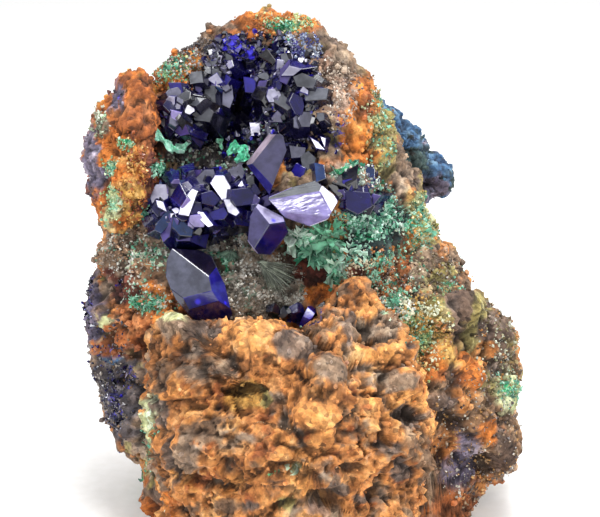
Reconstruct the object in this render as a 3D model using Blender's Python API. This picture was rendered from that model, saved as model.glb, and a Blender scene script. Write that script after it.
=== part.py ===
"""An azurite specimen: dark blue azurite crystals and green malachite sprays on a lump of limonite rock.

Metres, +Z up. The origin is on the flat base that the rock stands on.
The rock is a few closed, lumpy forms joined together. Each crystal is the convex solid inside its flat faces.
Every piece that grew on the rock is cut off at its root by a copy of the rock grown by a small gap.
"""

import itertools
import math

import bmesh
import bpy
import numpy as np
from mathutils import Vector

# Sizes are in millimetres until a mesh is written, and MM turns them into metres.
MM = 0.001

# The view in which places are read: its middle, how far it looks down, and how far off the eye is.
VIEW_TILT = math.radians(15.0)
VIEW_REACH = 170.0
VIEW_MIDDLE = (0.0, -1.0, 29.0)
PATTERN_SHIFT = np.array([0.0, 10.0, 0.0])  # from a place on the specimen to the same place in the noise patterns

GAP = 0.4  # between two pieces
LEAST_KEPT = 0.2  # share of a piece's volume that every cut leaves
GROUND_WIDTH = 200.0  # the block that cuts the base flat
GROUND_DEPTH = 40.0
BODY_CELLS = 28  # cells across one side of the rock's body
BLOCK_CELLS = 20
WALL_CELLS = 10
NODULE_CELLS = 9

# Outlines as (right, up, toward): what the view shows of each form's edge, and how near the edge lies.
BODY_CENTRE = (0.0, -4.0)
BODY_OUTLINE = [
    (-7.6, 23.0, -11.0),
    (-5.0, 23.9, -12.0),
    (-1.2, 24.4, -12.0),
    (0.7, 23.4, -11.0),
    (3.2, 22.0, -10.0),
    (5.0, 20.6, -10.0),
    (6.7, 17.8, -11.0),
    (8.0, 15.5, -12.0),
    (9.9, 10.8, -13.0),
    (11.7, 6.2, -12.0),
    (13.1, 4.0, -11.0),
    (13.4, 2.0, -11.0),
    (15.6, -1.6, -12.0),
    (17.0, -3.6, -12.0),
    (19.6, -5.3, -11.0),
    (21.2, -7.8, -10.0),
    (21.6, -10.5, -10.0),
    (22.1, -13.0, -9.0),
    (21.7, -15.2, -9.0),
    (21.9, -18.6, -8.0),
    (21.4, -20.6, -8.0),
    (19.0, -22.6, -8.0),
    (17.4, -24.0, -8.0),
    (16.6, -27.5, -8.0),
    (15.0, -31.5, -8.0),
    (10.0, -32.5, -8.0),
    (0.0, -33.5, -8.0),
    (-9.0, -32.5, -8.0),
    (-13.6, -31.5, -8.0),
    (-14.9, -26.0, -8.0),
    (-15.8, -22.8, -8.0),
    (-15.6, -20.4, -8.0),
    (-18.2, -18.2, -8.0),
    (-19.3, -14.5, -9.0),
    (-20.2, -10.4, -10.0),
    (-21.0, -6.8, -10.0),
    (-20.3, -2.0, -10.0),
    (-19.4, 2.0, -9.0),
    (-19.8, 6.0, -10.0),
    (-19.6, 12.0, -11.0),
    (-17.6, 16.0, -11.0),
    (-14.4, 17.9, -11.0),
    (-13.4, 20.0, -11.0),
    (-11.2, 20.8, -11.0),
    (-9.8, 21.4, -11.0),
]
# Spot heights of the body's front: (right, up, toward). Each rules the surface around it.
BODY_FRONT = [
    (-3.0, 22.5, -8.5),  # crest
    (2.5, 19.8, -5.0),  # shoulder
    (-1.5, 16.6, -4.8),  # wall of small crystals
    (-5.5, 19.0, -11.0),
    (5.0, 14.8, -3.8),  # striped brown flank
    (7.4, 10.4, -5.2),
    (-12.0, 15.4, -5.0),  # left cluster of the hollow
    (-8.0, 17.2, -8.5),
    (-6.0, 13.4, -15.0),  # deepest point of the hollow
    (-10.2, 10.6, -8.5),
    (-2.0, 11.6, -8.0),
    (-16.5, 12.0, -4.0),
    (-17.5, 5.6, -4.5),
    (-18.6, 2.2, -5.5),
    (-11.0, 5.4, -2.6),  # shelf of the large crystals
    (-3.6, 9.0, -5.4),
    (-4.0, 5.6, -2.2),
    (2.6, 6.0, -2.2),
    (-7.0, 1.6, -7.0),  # gap under that shelf
    (7.6, 5.2, -2.6),
    (12.0, 2.2, -7.0),
    (-15.0, 1.0, -3.2),
    (-15.8, -5.0, -1.0),  # red ground
    (-17.0, -11.0, -3.0),
    (-6.0, -3.0, -1.4),  # grey ground
    (-10.5, -5.6, -0.6),
    (0.6, -0.6, -7.0),  # rust pocket
    (1.0, -3.6, -3.2),
    (6.4, -1.0, -1.4),
    (12.0, -4.4, -1.8),
    (17.0, -8.4, -4.4),
    (14.0, -12.4, 0.6),
    (18.4, -16.0, -2.2),
    (17.0, -22.0, -3.0),
    (0.0, -15.0, 3.0),
    (-12.0, -15.0, 0.0),
    (-13.4, -25.0, -1.0),
    (0.0, -30.0, 2.0),
]
BODY_SPOT_REACH = 2.3
BODY_BOXINESS = 3.4  # how squarely the depth falls to the outline
BODY_BACK = [
    (-3.0, 18.0, -23.0),
    (5.0, 9.0, -24.0),
    (-12.0, 8.0, -24.0),
    (10.0, -6.0, -25.0),
    (-8.0, -8.0, -26.0),
    (12.0, -20.0, -24.0),
    (0.0, -24.0, -27.0),
    (-10.0, -28.0, -24.0),
]
BODY_BACK_REACH = 6.0

BLOCK_CENTRE = (-1.0, -19.0)
BLOCK_OUTLINE = [
    (-14.4, -7.6, 3.0),
    (-13.0, -6.0, 2.0),
    (-11.4, -6.6, 3.0),
    (-9.4, -7.8, 4.0),
    (-7.4, -7.0, 5.0),
    (-5.4, -6.4, 5.0),
    (-2.6, -6.6, 5.0),
    (-0.6, -6.8, 5.0),
    (1.8, -5.6, 3.0),
    (3.6, -3.0, 1.0),
    (5.6, -2.4, 1.2),
    (7.4, -3.8, 1.0),
    (9.2, -6.2, 2.0),
    (11.0, -8.8, 3.0),
    (12.4, -11.2, 3.0),
    (12.6, -14.0, 3.0),
    (13.4, -17.0, 2.0),
    (12.6, -21.0, 2.0),
    (11.6, -25.0, 2.0),
    (10.4, -31.0, 3.0),
    (7.0, -36.0, 3.0),
    (0.0, -38.0, 4.0),
    (-7.0, -36.0, 3.0),
    (-11.4, -30.0, 2.0),
    (-13.2, -24.5, 1.0),
    (-14.2, -19.5, 0.0),
    (-15.4, -15.0, 0.0),
    (-15.4, -11.0, 1.0),
]
BLOCK_FRONT = [
    (-13.0, -8.2, 6.0),
    (-9.0, -10.0, 8.5),
    (-5.0, -8.4, 9.0),
    (-1.0, -8.8, 10.0),
    (3.0, -8.0, 7.0),
    (5.4, -4.4, 3.4),
    (9.0, -9.0, 6.5),
    (-4.2, -13.6, 8.2),
    (3.0, -13.0, 11.0),
    (10.4, -13.0, 7.0),
    (-12.6, -14.0, 8.0),
    (-9.0, -18.0, 10.0),
    (0.0, -19.0, 11.5),
    (8.0, -18.0, 9.4),
    (11.0, -22.0, 6.0),
    (-11.0, -24.0, 6.5),
    (-3.0, -26.0, 10.0),
    (6.0, -27.0, 8.0),
    (0.0, -35.0, 8.0),
]
BLOCK_SPOT_REACH = 2.2
BLOCK_BACK = [(0.0, -20.0, -8.0)]

WALL_CENTRE = (-17.5, 10.0)
WALL_OUTLINE = [
    (-18.2, 17.7, -7.0),
    (-17.1, 18.4, -7.0),
    (-15.9, 18.6, -6.0),
    (-14.8, 17.9, -6.0),
    (-14.6, 15.0, -5.0),
    (-14.9, 11.0, -5.0),
    (-14.9, 7.4, -4.0),
    (-15.3, 4.8, -4.0),
    (-16.6, 3.4, -5.0),
    (-18.8, 2.7, -7.0),
    (-20.2, 5.0, -8.0),
    (-20.9, 8.4, -9.0),
    (-21.4, 11.4, -9.0),
    (-20.6, 13.0, -9.0),
    (-20.4, 14.4, -9.0),
    (-19.4, 15.6, -8.0),
    (-18.2, 16.6, -7.0),
]
WALL_FRONT = [
    (-16.6, 16.4, -1.6),
    (-16.4, 12.4, 0.4),
    (-18.8, 12.0, -3.0),
    (-16.6, 8.6, 0.8),
    (-19.2, 7.4, -3.2),
    (-17.4, 5.0, -1.0),
]
WALL_SPOT_REACH = 1.6
WALL_BACK = [(-17.5, 10.0, -17.0)]

NODULE_CENTRE = (10.6, 9.4)
NODULE_OUTLINE = [
    (5.6, 14.0, -17.0),
    (8.2, 15.6, -17.0),
    (9.4, 14.8, -17.0),
    (10.1, 13.6, -17.0),
    (11.6, 12.8, -18.0),
    (12.3, 11.8, -18.0),
    (12.7, 10.5, -18.0),
    (14.4, 9.8, -19.0),
    (15.2, 7.8, -19.0),
    (14.3, 6.2, -19.0),
    (13.3, 6.5, -18.0),
    (12.0, 5.4, -18.0),
    (9.0, 4.0, -18.0),
    (5.0, 5.0, -18.0),
    (3.4, 9.0, -18.0),
]
NODULE_FRONT = [(10.8, 12.0, -14.0), (10.6, 7.6, -13.4), (13.6, 8.0, -15.4)]
NODULE_SPOT_REACH = 1.6
NODULE_BACK = [(10.6, 9.4, -24.0)]


# Crystals by hand. Each face is a point on it and the direction it faces, both as (right, up, toward).
LARGE_CRYSTAL = [
    ((-11.4, -0.1, -0.6), (-0.22, 0.30, 0.93)),  # broad front face
    ((-11.4, -0.1, -0.6), (0.42, 0.66, 0.62)),  # dark face above it
    ((-9.0, -1.9, 0.0), (0.86, 0.16, 0.48)),  # right band
    ((-11.0, -3.6, 1.6), (-0.10, -0.42, 0.90)),  # lower band
    ((-9.0, -5.0, 1.8), (0.16, -0.86, 0.48)),  # blunt end
    ((-11.4, -5.0, 0.4), (-0.62, -0.62, 0.48)),
    ((-12.8, 0.9, -2.0), (0.06, 0.998, 0.0)),
    ((-10.0, 1.0, -2.0), (0.42, 0.90, 0.0)),
    ((-8.1, -1.3, -2.0), (0.90, 0.44, 0.0)),
    ((-7.0, -5.0, -2.0), (0.97, 0.24, 0.0)),
    ((-7.8, -6.7, -2.0), (0.72, -0.69, 0.0)),
    ((-9.0, -7.4, -2.0), (0.0, -1.0, 0.0)),
    ((-10.6, -6.0, -2.0), (-0.73, -0.68, 0.0)),
    ((-12.3, -3.7, -2.0), (-0.85, -0.52, 0.0)),
    ((-13.3, -1.0, -2.0), (-0.99, -0.13, 0.0)),
    ((-13.2, 0.4, -2.0), (-0.93, 0.37, 0.0)),
    ((-11.0, -3.0, -6.5), (0.0, 0.0, -1.0)),
]
UPRIGHT_BLADE = [
    ((-2.8, 9.5, -1.4), (-0.10, 0.36, 0.93)),  # broad face
    ((-3.6, 10.9, -2.0), (-0.66, 0.64, 0.40)),  # pale bevel
    ((-4.6, 8.4, -2.1), (-0.72, -0.38, 0.58)),
    ((-1.5, 12.3, -3.0), (0.10, 0.99, 0.0)),
    ((-1.4, 11.0, -3.0), (0.97, 0.24, 0.0)),
    ((-2.2, 8.5, -3.0), (0.93, -0.36, 0.0)),
    ((-2.9, 5.8, -3.0), (0.0, -1.0, 0.0)),
    ((-4.0, 7.6, -3.0), (-0.80, -0.60, 0.0)),
    ((-5.3, 9.0, -3.0), (-0.99, -0.10, 0.0)),
    ((-4.9, 10.2, -3.0), (-0.80, 0.60, 0.0)),
    ((-2.8, 8.0, -3.6), (0.05, -0.10, -0.99)),
]
BRIGHT_CRYSTAL = [
    ((0.4, 5.6, 1.4), (-0.05, -0.10, 0.99)),  # broad striped face
    ((0.8, 6.6, 1.4), (-0.16, 0.68, 0.71)),  # dull face above it
    ((3.2, 6.0, 0.8), (0.62, 0.30, 0.72)),
    ((0.4, 4.0, 0.8), (-0.10, -0.72, 0.68)),
    ((1.2, 7.7, 0.0), (-0.28, 0.96, 0.0)),
    ((2.4, 7.1, 0.0), (0.62, 0.78, 0.0)),
    ((3.6, 6.0, 0.0), (0.86, 0.50, 0.0)),
    ((3.3, 4.8, 0.0), (0.86, -0.50, 0.0)),
    ((2.0, 3.6, 0.0), (0.36, -0.93, 0.0)),
    ((0.2, 3.5, 0.0), (-0.32, -0.95, 0.0)),
    ((-2.0, 4.6, 0.0), (-0.72, -0.69, 0.0)),
    ((-3.2, 5.9, 0.0), (-0.97, 0.20, 0.0)),
    ((-2.0, 6.6, 0.0), (-0.40, 0.92, 0.0)),
    ((0.4, 5.6, -2.6), (0.0, 0.0, -1.0)),
]
WEDGE_CRYSTAL = [
    ((-4.4, 3.0, 1.3), (-0.52, 0.10, 0.85)),  # pale left face
    ((-3.2, 2.6, 1.6), (0.50, -0.52, 0.69)),  # near-black right face
    ((-2.6, 4.3, 1.0), (0.30, 0.66, 0.69)),
    ((-3.6, 5.2, 0.0), (0.46, 0.89, 0.0)),
    ((-1.4, 3.4, 0.0), (0.96, 0.28, 0.0)),
    ((-2.2, 1.3, 0.0), (0.78, -0.62, 0.0)),
    ((-3.6, 0.4, 0.0), (-0.06, -1.0, 0.0)),
    ((-4.8, 1.2, 0.0), (-0.80, -0.60, 0.0)),
    ((-5.1, 3.2, 0.0), (-0.99, 0.10, 0.0)),
    ((-4.7, 4.7, 0.0), (-0.88, 0.48, 0.0)),
    ((-3.6, 3.0, -3.4), (0.0, 0.0, -1.0)),
]

# Crystals by habit: (right, up, lift, length, width, (lean right, lean up), turn in degrees).
# Each stands out of the rock's face by its lift, leaning from the straight line out of it.
CLUSTER_CRYSTALS = [
    (-13.7, 6.4, 1.6, 4.0, 2.2, (-0.9, 0.4), 10),
    (-13.4, 4.3, 1.2, 3.4, 1.6, (-0.5, -0.2), 70),
    (-12.8, 3.1, 1.2, 4.0, 1.3, (-0.2, -0.9), 20),
    (-12.0, 3.6, 1.4, 3.8, 1.9, (0.1, -0.6), 50),
    (-12.4, 6.4, 1.2, 3.4, 1.8, (-0.2, 0.5), 0),
    (-11.8, 7.3, 1.2, 3.2, 1.6, (-0.1, 0.9), 30),
    (-11.2, 5.6, 2.0, 4.6, 1.5, (0.3, 0.7), 60),
    (-10.4, 4.3, 1.8, 4.0, 2.0, (-0.3, -0.4), 15),
    (-9.3, 4.9, 1.8, 3.8, 1.8, (0.2, -0.6), 80),
    (-8.2, 4.4, 1.8, 4.4, 1.8, (0.9, -0.3), 35),
    (-9.4, 7.6, 1.2, 3.6, 2.0, (-0.3, 0.9), 5),
    (-8.0, 7.2, 2.2, 5.0, 2.4, (0.2, 0.6), 40),
    (-6.5, 7.8, 1.6, 4.0, 1.8, (0.0, 0.9), 75),
    (-5.6, 6.2, 2.0, 4.4, 2.4, (0.3, 0.1), 25),
    (-6.3, 4.9, 1.4, 3.4, 1.6, (0.5, -0.7), 55),
    (-1.0, 8.6, 1.0, 4.0, 2.0, (0.6, 0.7), 45),
    (1.2, 9.4, 1.0, 3.8, 1.7, (0.8, 0.6), 10),
    (0.4, 10.6, 1.0, 3.4, 1.5, (0.4, 0.9), 65),
]
RIGHT_CRYSTALS = [
    (5.4, 5.9, 1.2, 4.0, 2.2, (0.5, 0.3), 20),
    (6.6, 7.2, 1.2, 3.6, 1.6, (0.8, 0.6), 60),
    (6.2, 5.0, 1.4, 3.6, 1.8, (0.7, -0.4), 0),
    (4.8, 7.2, 1.0, 3.0, 1.4, (0.2, 0.8), 40),
]
SEAM_CRYSTALS = [
    (-2.8, -5.4, 0.8, 3.0, 1.4, (-0.5, 0.2), 15),
    (-1.7, -5.9, 1.0, 3.2, 1.5, (-0.2, 0.4), 60),
    (-0.5, -5.5, 1.0, 3.2, 1.5, (0.1, 0.3), 30),
    (0.8, -5.9, 1.0, 3.0, 1.5, (0.3, 0.5), 80),
    (2.0, -5.3, 0.8, 3.0, 1.4, (0.6, 0.4), 45),
]
CRUST_CRYSTALS = [
    (-13.4, 14.6, 1.0, 3.0, 1.6, (-0.5, 0.4), 10),
    (-12.4, 15.6, 1.0, 3.4, 1.6, (-0.4, 0.8), 50),
    (-11.4, 13.0, 1.6, 3.8, 1.8, (0.1, 0.5), 30),
    (-10.4, 15.0, 1.2, 3.4, 1.8, (0.2, 0.6), 0),
    (-9.4, 14.6, 1.6, 4.0, 1.6, (0.4, 0.5), 40),
    (-9.0, 16.4, 1.4, 3.8, 1.8, (0.1, 0.8), 65),
    (-7.2, 16.9, 1.6, 5.0, 1.4, (0.3, -0.3), 20),
    (-5.2, 17.4, 1.0, 3.6, 1.6, (0.1, -0.5), 85),
    (-6.2, 20.6, 0.8, 3.0, 1.6, (-0.4, -0.2), 25),
    (-4.6, 20.0, 1.0, 3.2, 1.6, (0.1, -0.4), 60),
    (-3.0, 21.2, 0.8, 3.0, 1.7, (0.0, -0.1), 5),
    (-1.0, 20.4, 1.0, 3.4, 1.8, (0.2, -0.3), 45),
    (-2.6, 18.6, 1.0, 3.2, 1.6, (-0.2, -0.2), 35),
    (-3.6, 16.4, 1.2, 3.6, 1.6, (-0.5, -0.1), 15),
    (-1.0, 17.0, 1.0, 3.2, 1.5, (0.1, 0.2), 55),
    (0.8, 17.0, 1.0, 3.0, 1.4, (0.5, 0.1), 80),
    (-2.5, 15.6, 1.6, 3.8, 1.7, (0.0, 0.1), 30),
    (-3.2, 14.4, 1.4, 3.4, 1.5, (-0.3, -0.2), 0),
    (1.4, 15.4, 1.2, 3.6, 1.6, (0.5, 0.2), 40),
    (-0.6, 14.6, 1.0, 3.0, 1.5, (0.2, -0.1), 65),
    (0.8, 13.4, 1.4, 3.6, 1.8, (0.2, 0.1), 20),
    (2.4, 13.4, 1.0, 3.2, 1.4, (0.6, 0.0), 50),
    (-4.4, 12.7, 1.6, 4.2, 1.8, (0.3, 0.4), 10),
    (1.8, 11.6, 1.2, 3.4, 1.5, (0.4, -0.2), 35),
    (-1.2, 12.8, 1.0, 3.0, 1.4, (0.0, 0.3), 60),
    (-7.6, 13.0, 1.0, 3.4, 1.6, (-0.2, 0.4), 5),
]
# Sheets: the low mass of crystal that each group stands out of, as (right, up) round its edge.
CRUST_EDGE = [
    (-13.4, 16.2),
    (-9.0, 18.2),
    (-6.4, 21.4),
    (-2.4, 22.0),
    (1.0, 20.6),
    (3.0, 16.4),
    (3.2, 12.6),
    (2.4, 10.6),
    (-1.6, 12.2),
    (-6.0, 11.6),
    (-10.0, 11.4),
    (-13.8, 12.2),
]
CLUSTER_EDGE = [
    (-14.2, 7.4),
    (-10.4, 8.6),
    (-5.0, 9.2),
    (-2.4, 9.8),
    (2.0, 10.4),
    (2.6, 8.6),
    (3.2, 6.0),
    (1.4, 4.2),
    (-3.0, 1.6),
    (-6.4, 3.4),
    (-12.8, 2.4),
]
RIGHT_EDGE = [(4.2, 7.6), (6.8, 7.8), (7.2, 5.6), (6.0, 4.4), (4.6, 5.2)]
SEAM_EDGE = [(-3.6, -4.8), (-0.4, -4.6), (2.8, -4.8), (2.6, -6.0), (-0.4, -6.4), (-3.2, -6.2)]
SHEET_THICKNESS = 1.3
SHEET_RIM = 0.1
SHEET_ROOT = 1.2  # how far a sheet reaches into the rock, which cuts it off
SHEET_CELLS = 6

# Sprays of green blades: (right, up, lift) of the root, (right, up, toward) of the way they grow, length,
# width, how many blades, and how far they fan out in degrees.
SPRAYS = {
    "malachite_flake_left": ((-0.4, 0.8, 0.8), (-0.5, 0.2, 0.9), 2.4, 1.2, 4, 70),
    "malachite_flake_middle": ((1.4, 1.4, 0.8), (-0.1, 0.3, 0.9), 2.8, 1.4, 5, 80),
    "malachite_flake_upper": ((3.2, 2.6, 0.8), (0.3, 0.6, 0.8), 2.8, 1.3, 5, 80),
    "malachite_flake_lower": ((2.6, -0.6, 0.8), (0.2, -0.5, 0.9), 2.6, 1.3, 5, 80),
    "malachite_flake_right": ((4.6, 0.8, 0.8), (0.7, -0.1, 0.8), 2.4, 1.2, 4, 70),
    "malachite_fan": ((-2.6, -2.6, 0.8), (0.0, 0.5, 0.9), 3.6, 1.0, 7, 110),
    "malachite_small_fan": ((-6.2, 0.0, 0.8), (-0.4, 0.7, 0.8), 2.8, 0.9, 5, 90),
    "malachite_tuft": ((-6.4, 9.9, 0.8), (0.1, 0.2, 0.9), 2.6, 1.3, 5, 70),
    "malachite_ribbon": ((-12.8, 10.0, 0.8), (-0.8, 0.6, 0.5), 3.2, 1.0, 4, 50),
}
KNOB = np.array(list(itertools.product((-0.58, 0.58), repeat=3)) + [*np.eye(3), *-np.eye(3)])
KNOB_SIZE = 0.34  # a spray's root knob, as a share of the blades' length


def seen(right, up, toward):
    """Place in mm of a point that shows `right` and `up` of the view's middle and lies `toward` mm nearer.

    The sight line through that point of the view is walked until it is that near, and the view is then tilted
    back to the upright frame.
    """
    right, up, toward = np.broadcast_arrays(*(np.asarray(v, float) for v in (right, up, toward)))
    narrowing = 1.0 - toward / VIEW_REACH
    side, rise = right * narrowing, up * narrowing
    return np.stack(
        [
            VIEW_MIDDLE[0] + side,
            VIEW_MIDDLE[1] + rise * math.sin(VIEW_TILT) - toward * math.cos(VIEW_TILT),
            VIEW_MIDDLE[2] + rise * math.cos(VIEW_TILT) + toward * math.sin(VIEW_TILT),
        ],
        axis=-1,
    )


def turned(direction):
    """A direction (right, up, toward) of the view, as a unit vector of the upright frame."""
    right, up, toward = direction
    vector = np.array(
        [
            right,
            up * math.sin(VIEW_TILT) - toward * math.cos(VIEW_TILT),
            up * math.cos(VIEW_TILT) + toward * math.sin(VIEW_TILT),
        ]
    )
    return vector / np.linalg.norm(vector)


def stirred(cells, salt):
    """A number from 0 to 1 for each whole-numbered cell: its indices times primes, stirred by shifts."""
    cells = cells.astype(np.uint32)
    mixed = cells[..., 0] * np.uint32(73856093)
    mixed ^= cells[..., 1] * np.uint32(19349663)
    mixed ^= cells[..., 2] * np.uint32(83492791)
    mixed ^= np.uint32(salt * 2654435761 % 2**32)
    for shift, prime in ((15, 2246822519), (13, 3266489917), (16, 668265263)):
        mixed = (mixed ^ (mixed >> np.uint32(shift))) * np.uint32(prime)
    return (mixed ^ (mixed >> np.uint32(15))) / 2.0**32


def waves(points, size, salt):
    """Smooth noise from -1 to 1, swells `size` mm wide: values on a cube grid, blended by quintic steps."""
    scaled = (points + PATTERN_SHIFT) / size
    corner = np.floor(scaled).astype(np.int64)
    share = scaled - corner
    share = share**3 * (share * (share * 6 - 15) + 10)
    total = 0.0
    for step in itertools.product((0, 1), repeat=3):
        weight = np.prod(np.where(step, share, 1 - share), axis=-1)
        total = total + weight * stirred(corner + np.array(step), salt)
    return total * 2 - 1


def domes(points, size, salt):
    """Rounded lumps about `size` mm wide: 1 on each lump's middle, and 0 in the creases where two lumps meet.

    It is the root of 1 - (nearest / next)^2, from the distances to the two nearest of the random centres.
    """
    scaled = (points + PATTERN_SHIFT) / size
    home = np.floor(scaled).astype(np.int64)
    nearest = np.full(scaled.shape[:-1], 9.0)
    after = nearest.copy()
    for step in itertools.product((-1, 0, 1), repeat=3):
        cell = home + np.array(step)
        centre = cell + np.stack([stirred(cell, salt + k) for k in range(3)], axis=-1)
        distance = np.linalg.norm(scaled - centre, axis=-1)
        after = np.minimum(after, np.maximum(nearest, distance))
        nearest = np.minimum(nearest, distance)
    return np.sqrt(np.clip(1 - (nearest / after) ** 2, 0, 1))


def relief(spots, reach, right, up):
    """Height at each point: the spots' own heights, weighed by a bell curve of the distance to each."""
    spots = np.array(spots)
    away = (right[..., None] - spots[:, 0]) ** 2 + (up[..., None] - spots[:, 1]) ** 2
    weight = np.exp(-away / (2 * reach**2)) + 1e-12 / (1 + away)
    return (weight * spots[:, 2]).sum(axis=-1) / weight.sum(axis=-1)


def rim_at(outline, centre, angle):
    """(radius, toward) of an outline in the direction `angle` round its centre, even between its points."""
    points = np.array(outline)
    across, along = points[:, 0] - centre[0], points[:, 1] - centre[1]
    around = np.arctan2(along, across)
    radius = np.interp(angle, around, np.hypot(across, along), period=2 * math.pi)
    return radius, np.interp(angle, around, points[:, 2], period=2 * math.pi)


def squared_quarter(share, boxiness, flatness):
    """Walks a quarter of a squared circle evenly: its (radius, height) at each share of the way."""
    turn = np.linspace(0, math.pi / 2, 600)
    radius, height = np.sin(turn) ** (2 / boxiness), np.cos(turn) ** (2 / boxiness)
    step = np.hypot(np.diff(radius), flatness * np.diff(height))
    walked = np.concatenate([[0], np.cumsum(step)])
    at = share * walked[-1]
    return np.interp(at, walked, radius), np.interp(at, walked, height)


def two_sided_grid(cells):
    """A square grid for the front and one for the back, sewn round the edge like a cushion, in triangles.

    Returns each point's (across, along) from -1 to 1, its side (1 front, -1 back), and the faces, facing out.
    """
    line = np.linspace(-1, 1, cells + 1)
    across, along = (v.ravel() for v in np.meshgrid(line, line, indexing="ij"))
    inner = np.maximum(abs(across), abs(along)) < 1 - 1e-9
    front = np.arange(len(across))
    back = front.copy()
    back[inner] = len(across) + np.arange(inner.sum())
    grid = front.reshape(cells + 1, cells + 1)
    quads = np.stack([grid[:-1, :-1], grid[1:, :-1], grid[1:, 1:], grid[:-1, 1:]], axis=-1).reshape(-1, 4)
    quads = np.concatenate([quads, back[quads][:, ::-1]])
    faces = np.concatenate([quads[:, [0, 1, 2]], quads[:, [0, 2, 3]]])
    side = np.concatenate([np.ones(len(across)), -np.ones(inner.sum())])
    return np.concatenate([across, across[inner]]), np.concatenate([along, along[inner]]), side, faces


def disc_of_square(across, along):
    """(share of the radius, angle) of a square grid's points laid on a disc: each square ring is a circle."""
    ring = np.maximum(abs(across), abs(along))
    wide = abs(across) >= abs(along)
    safe = np.where(ring > 0, ring, 1)
    angle = np.where(wide, along / safe, 2 - across / safe) * math.pi / 4
    angle = np.where(wide & (across < 0), math.pi - angle, angle)
    angle = np.where(~wide & (along < 0), -angle, angle)
    return ring, angle


def outward(points, faces):
    """Unit normals of the points: the sum of the normals of the triangles round each, weighed by their size."""
    normal = np.cross(points[faces[:, 1]] - points[faces[:, 0]], points[faces[:, 2]] - points[faces[:, 0]])
    total = np.zeros_like(points)
    for corner in range(3):
        np.add.at(total, faces[:, corner], normal)
    return total / np.linalg.norm(total, axis=1, keepdims=True)


def lumpy_form(cells, outline, centre, front, front_reach, back, back_reach, boxiness, texture, grow=0.0):
    """A closed rock form: its outline in the view, a front and a back relief, and texture along the normals.

    From the middle to the outline, the depth falls from the relief to the rim along a squared circle.
    """
    across, along, side, faces = two_sided_grid(cells)
    share, angle = disc_of_square(across, along)
    reach, depth = squared_quarter(share, boxiness, 0.5)
    radius, rim = rim_at(outline, centre, angle)
    right = centre[0] + reach * radius * np.cos(angle)
    up = centre[1] + reach * radius * np.sin(angle)
    face = np.where(side > 0, relief(front, front_reach, right, up), relief(back, back_reach, right, up))
    points = seen(right, up, rim + (face - rim) * depth)
    points = points + outward(points, faces) * texture(points)[:, None]
    return points + outward(points, faces) * grow, faces


def front_toward(right, up):
    """How near the body's untextured front lies where the view shows (right, up)."""
    right, up = np.asarray(right, float), np.asarray(up, float)
    across, along = right - BODY_CENTRE[0], up - BODY_CENTRE[1]
    radius, rim = rim_at(BODY_OUTLINE, BODY_CENTRE, np.arctan2(along, across))
    share = np.clip(np.hypot(across, along) / radius, 0, 1)
    depth = (1 - share**BODY_BOXINESS) ** (1 / BODY_BOXINESS)
    return rim + (relief(BODY_FRONT, BODY_SPOT_REACH, right, up) - rim) * depth


def rock_texture(points):
    """Broken rock: broad swells, lumps 6 mm wide with creases between them, and smaller lumps on those."""
    lumps = 1.7 * (domes(points, 6.0, 11) - 0.65) + 0.5 * (domes(points, 3.2, 17) - 0.6)
    return lumps + 0.8 * waves(points, 8.0, 3)


def block_texture(points):
    """The cobbled ochre block: swells, and round lumps 5 mm wide with smaller ones on them."""
    lumps = 1.9 * (domes(points, 5.0, 23) - 0.65) + 0.5 * (domes(points, 2.8, 29) - 0.6)
    return lumps + 0.6 * waves(points, 7.0, 5)


def knobby_texture(points):
    """Small round knobs, 3 mm wide."""
    return 1.1 * (domes(points, 3.4, 31) - 0.6)


def mesh_object(name, points, faces, material):
    mesh = bpy.data.meshes.new(name)
    mesh.from_pydata((points * MM).tolist(), [], faces.tolist())
    mesh.validate()
    obj = bpy.data.objects.new(name, mesh)
    bpy.context.scene.collection.objects.link(obj)
    if material:
        mesh.materials.append(material)
    return obj


def finish(name, colour, roughness, metallic=0.0):
    """A plain finish from the specimen's own colours."""
    material = bpy.data.materials.new(name)
    material.use_nodes = True
    shader = material.node_tree.nodes["Principled BSDF"]
    shader.inputs["Base Color"].default_value = (*colour, 1)
    shader.inputs["Roughness"].default_value = roughness
    shader.inputs["Metallic"].default_value = metallic
    material.diffuse_color = (*colour, 1)
    return material


def helper(obj):
    """Marks a cutter: it shapes others and isn't part of the specimen."""
    obj.hide_render = True
    obj.display_type = "WIRE"
    return obj


def nodule_form():
    return lumpy_form(
        NODULE_CELLS, NODULE_OUTLINE, NODULE_CENTRE, NODULE_FRONT, NODULE_SPOT_REACH, NODULE_BACK, 9.0,
        2.6, knobby_texture,
    )


def rock_forms(grow, material):
    """The rock's three forms, each `grow` mm larger all round than the rock itself."""
    body = lumpy_form(
        BODY_CELLS, BODY_OUTLINE, BODY_CENTRE, BODY_FRONT, BODY_SPOT_REACH, BODY_BACK, BODY_BACK_REACH,
        BODY_BOXINESS, rock_texture, grow,
    )
    block = lumpy_form(
        BLOCK_CELLS, BLOCK_OUTLINE, BLOCK_CENTRE, BLOCK_FRONT, BLOCK_SPOT_REACH, BLOCK_BACK, 9.0,
        3.0, block_texture, grow,
    )
    wall = lumpy_form(
        WALL_CELLS, WALL_OUTLINE, WALL_CENTRE, WALL_FRONT, WALL_SPOT_REACH, WALL_BACK, 9.0,
        3.0, knobby_texture, grow,
    )
    names = ("body", "block", "wall")
    return [mesh_object(f"{name}_form", *form, material) for name, form in zip(names, (body, block, wall))]


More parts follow.
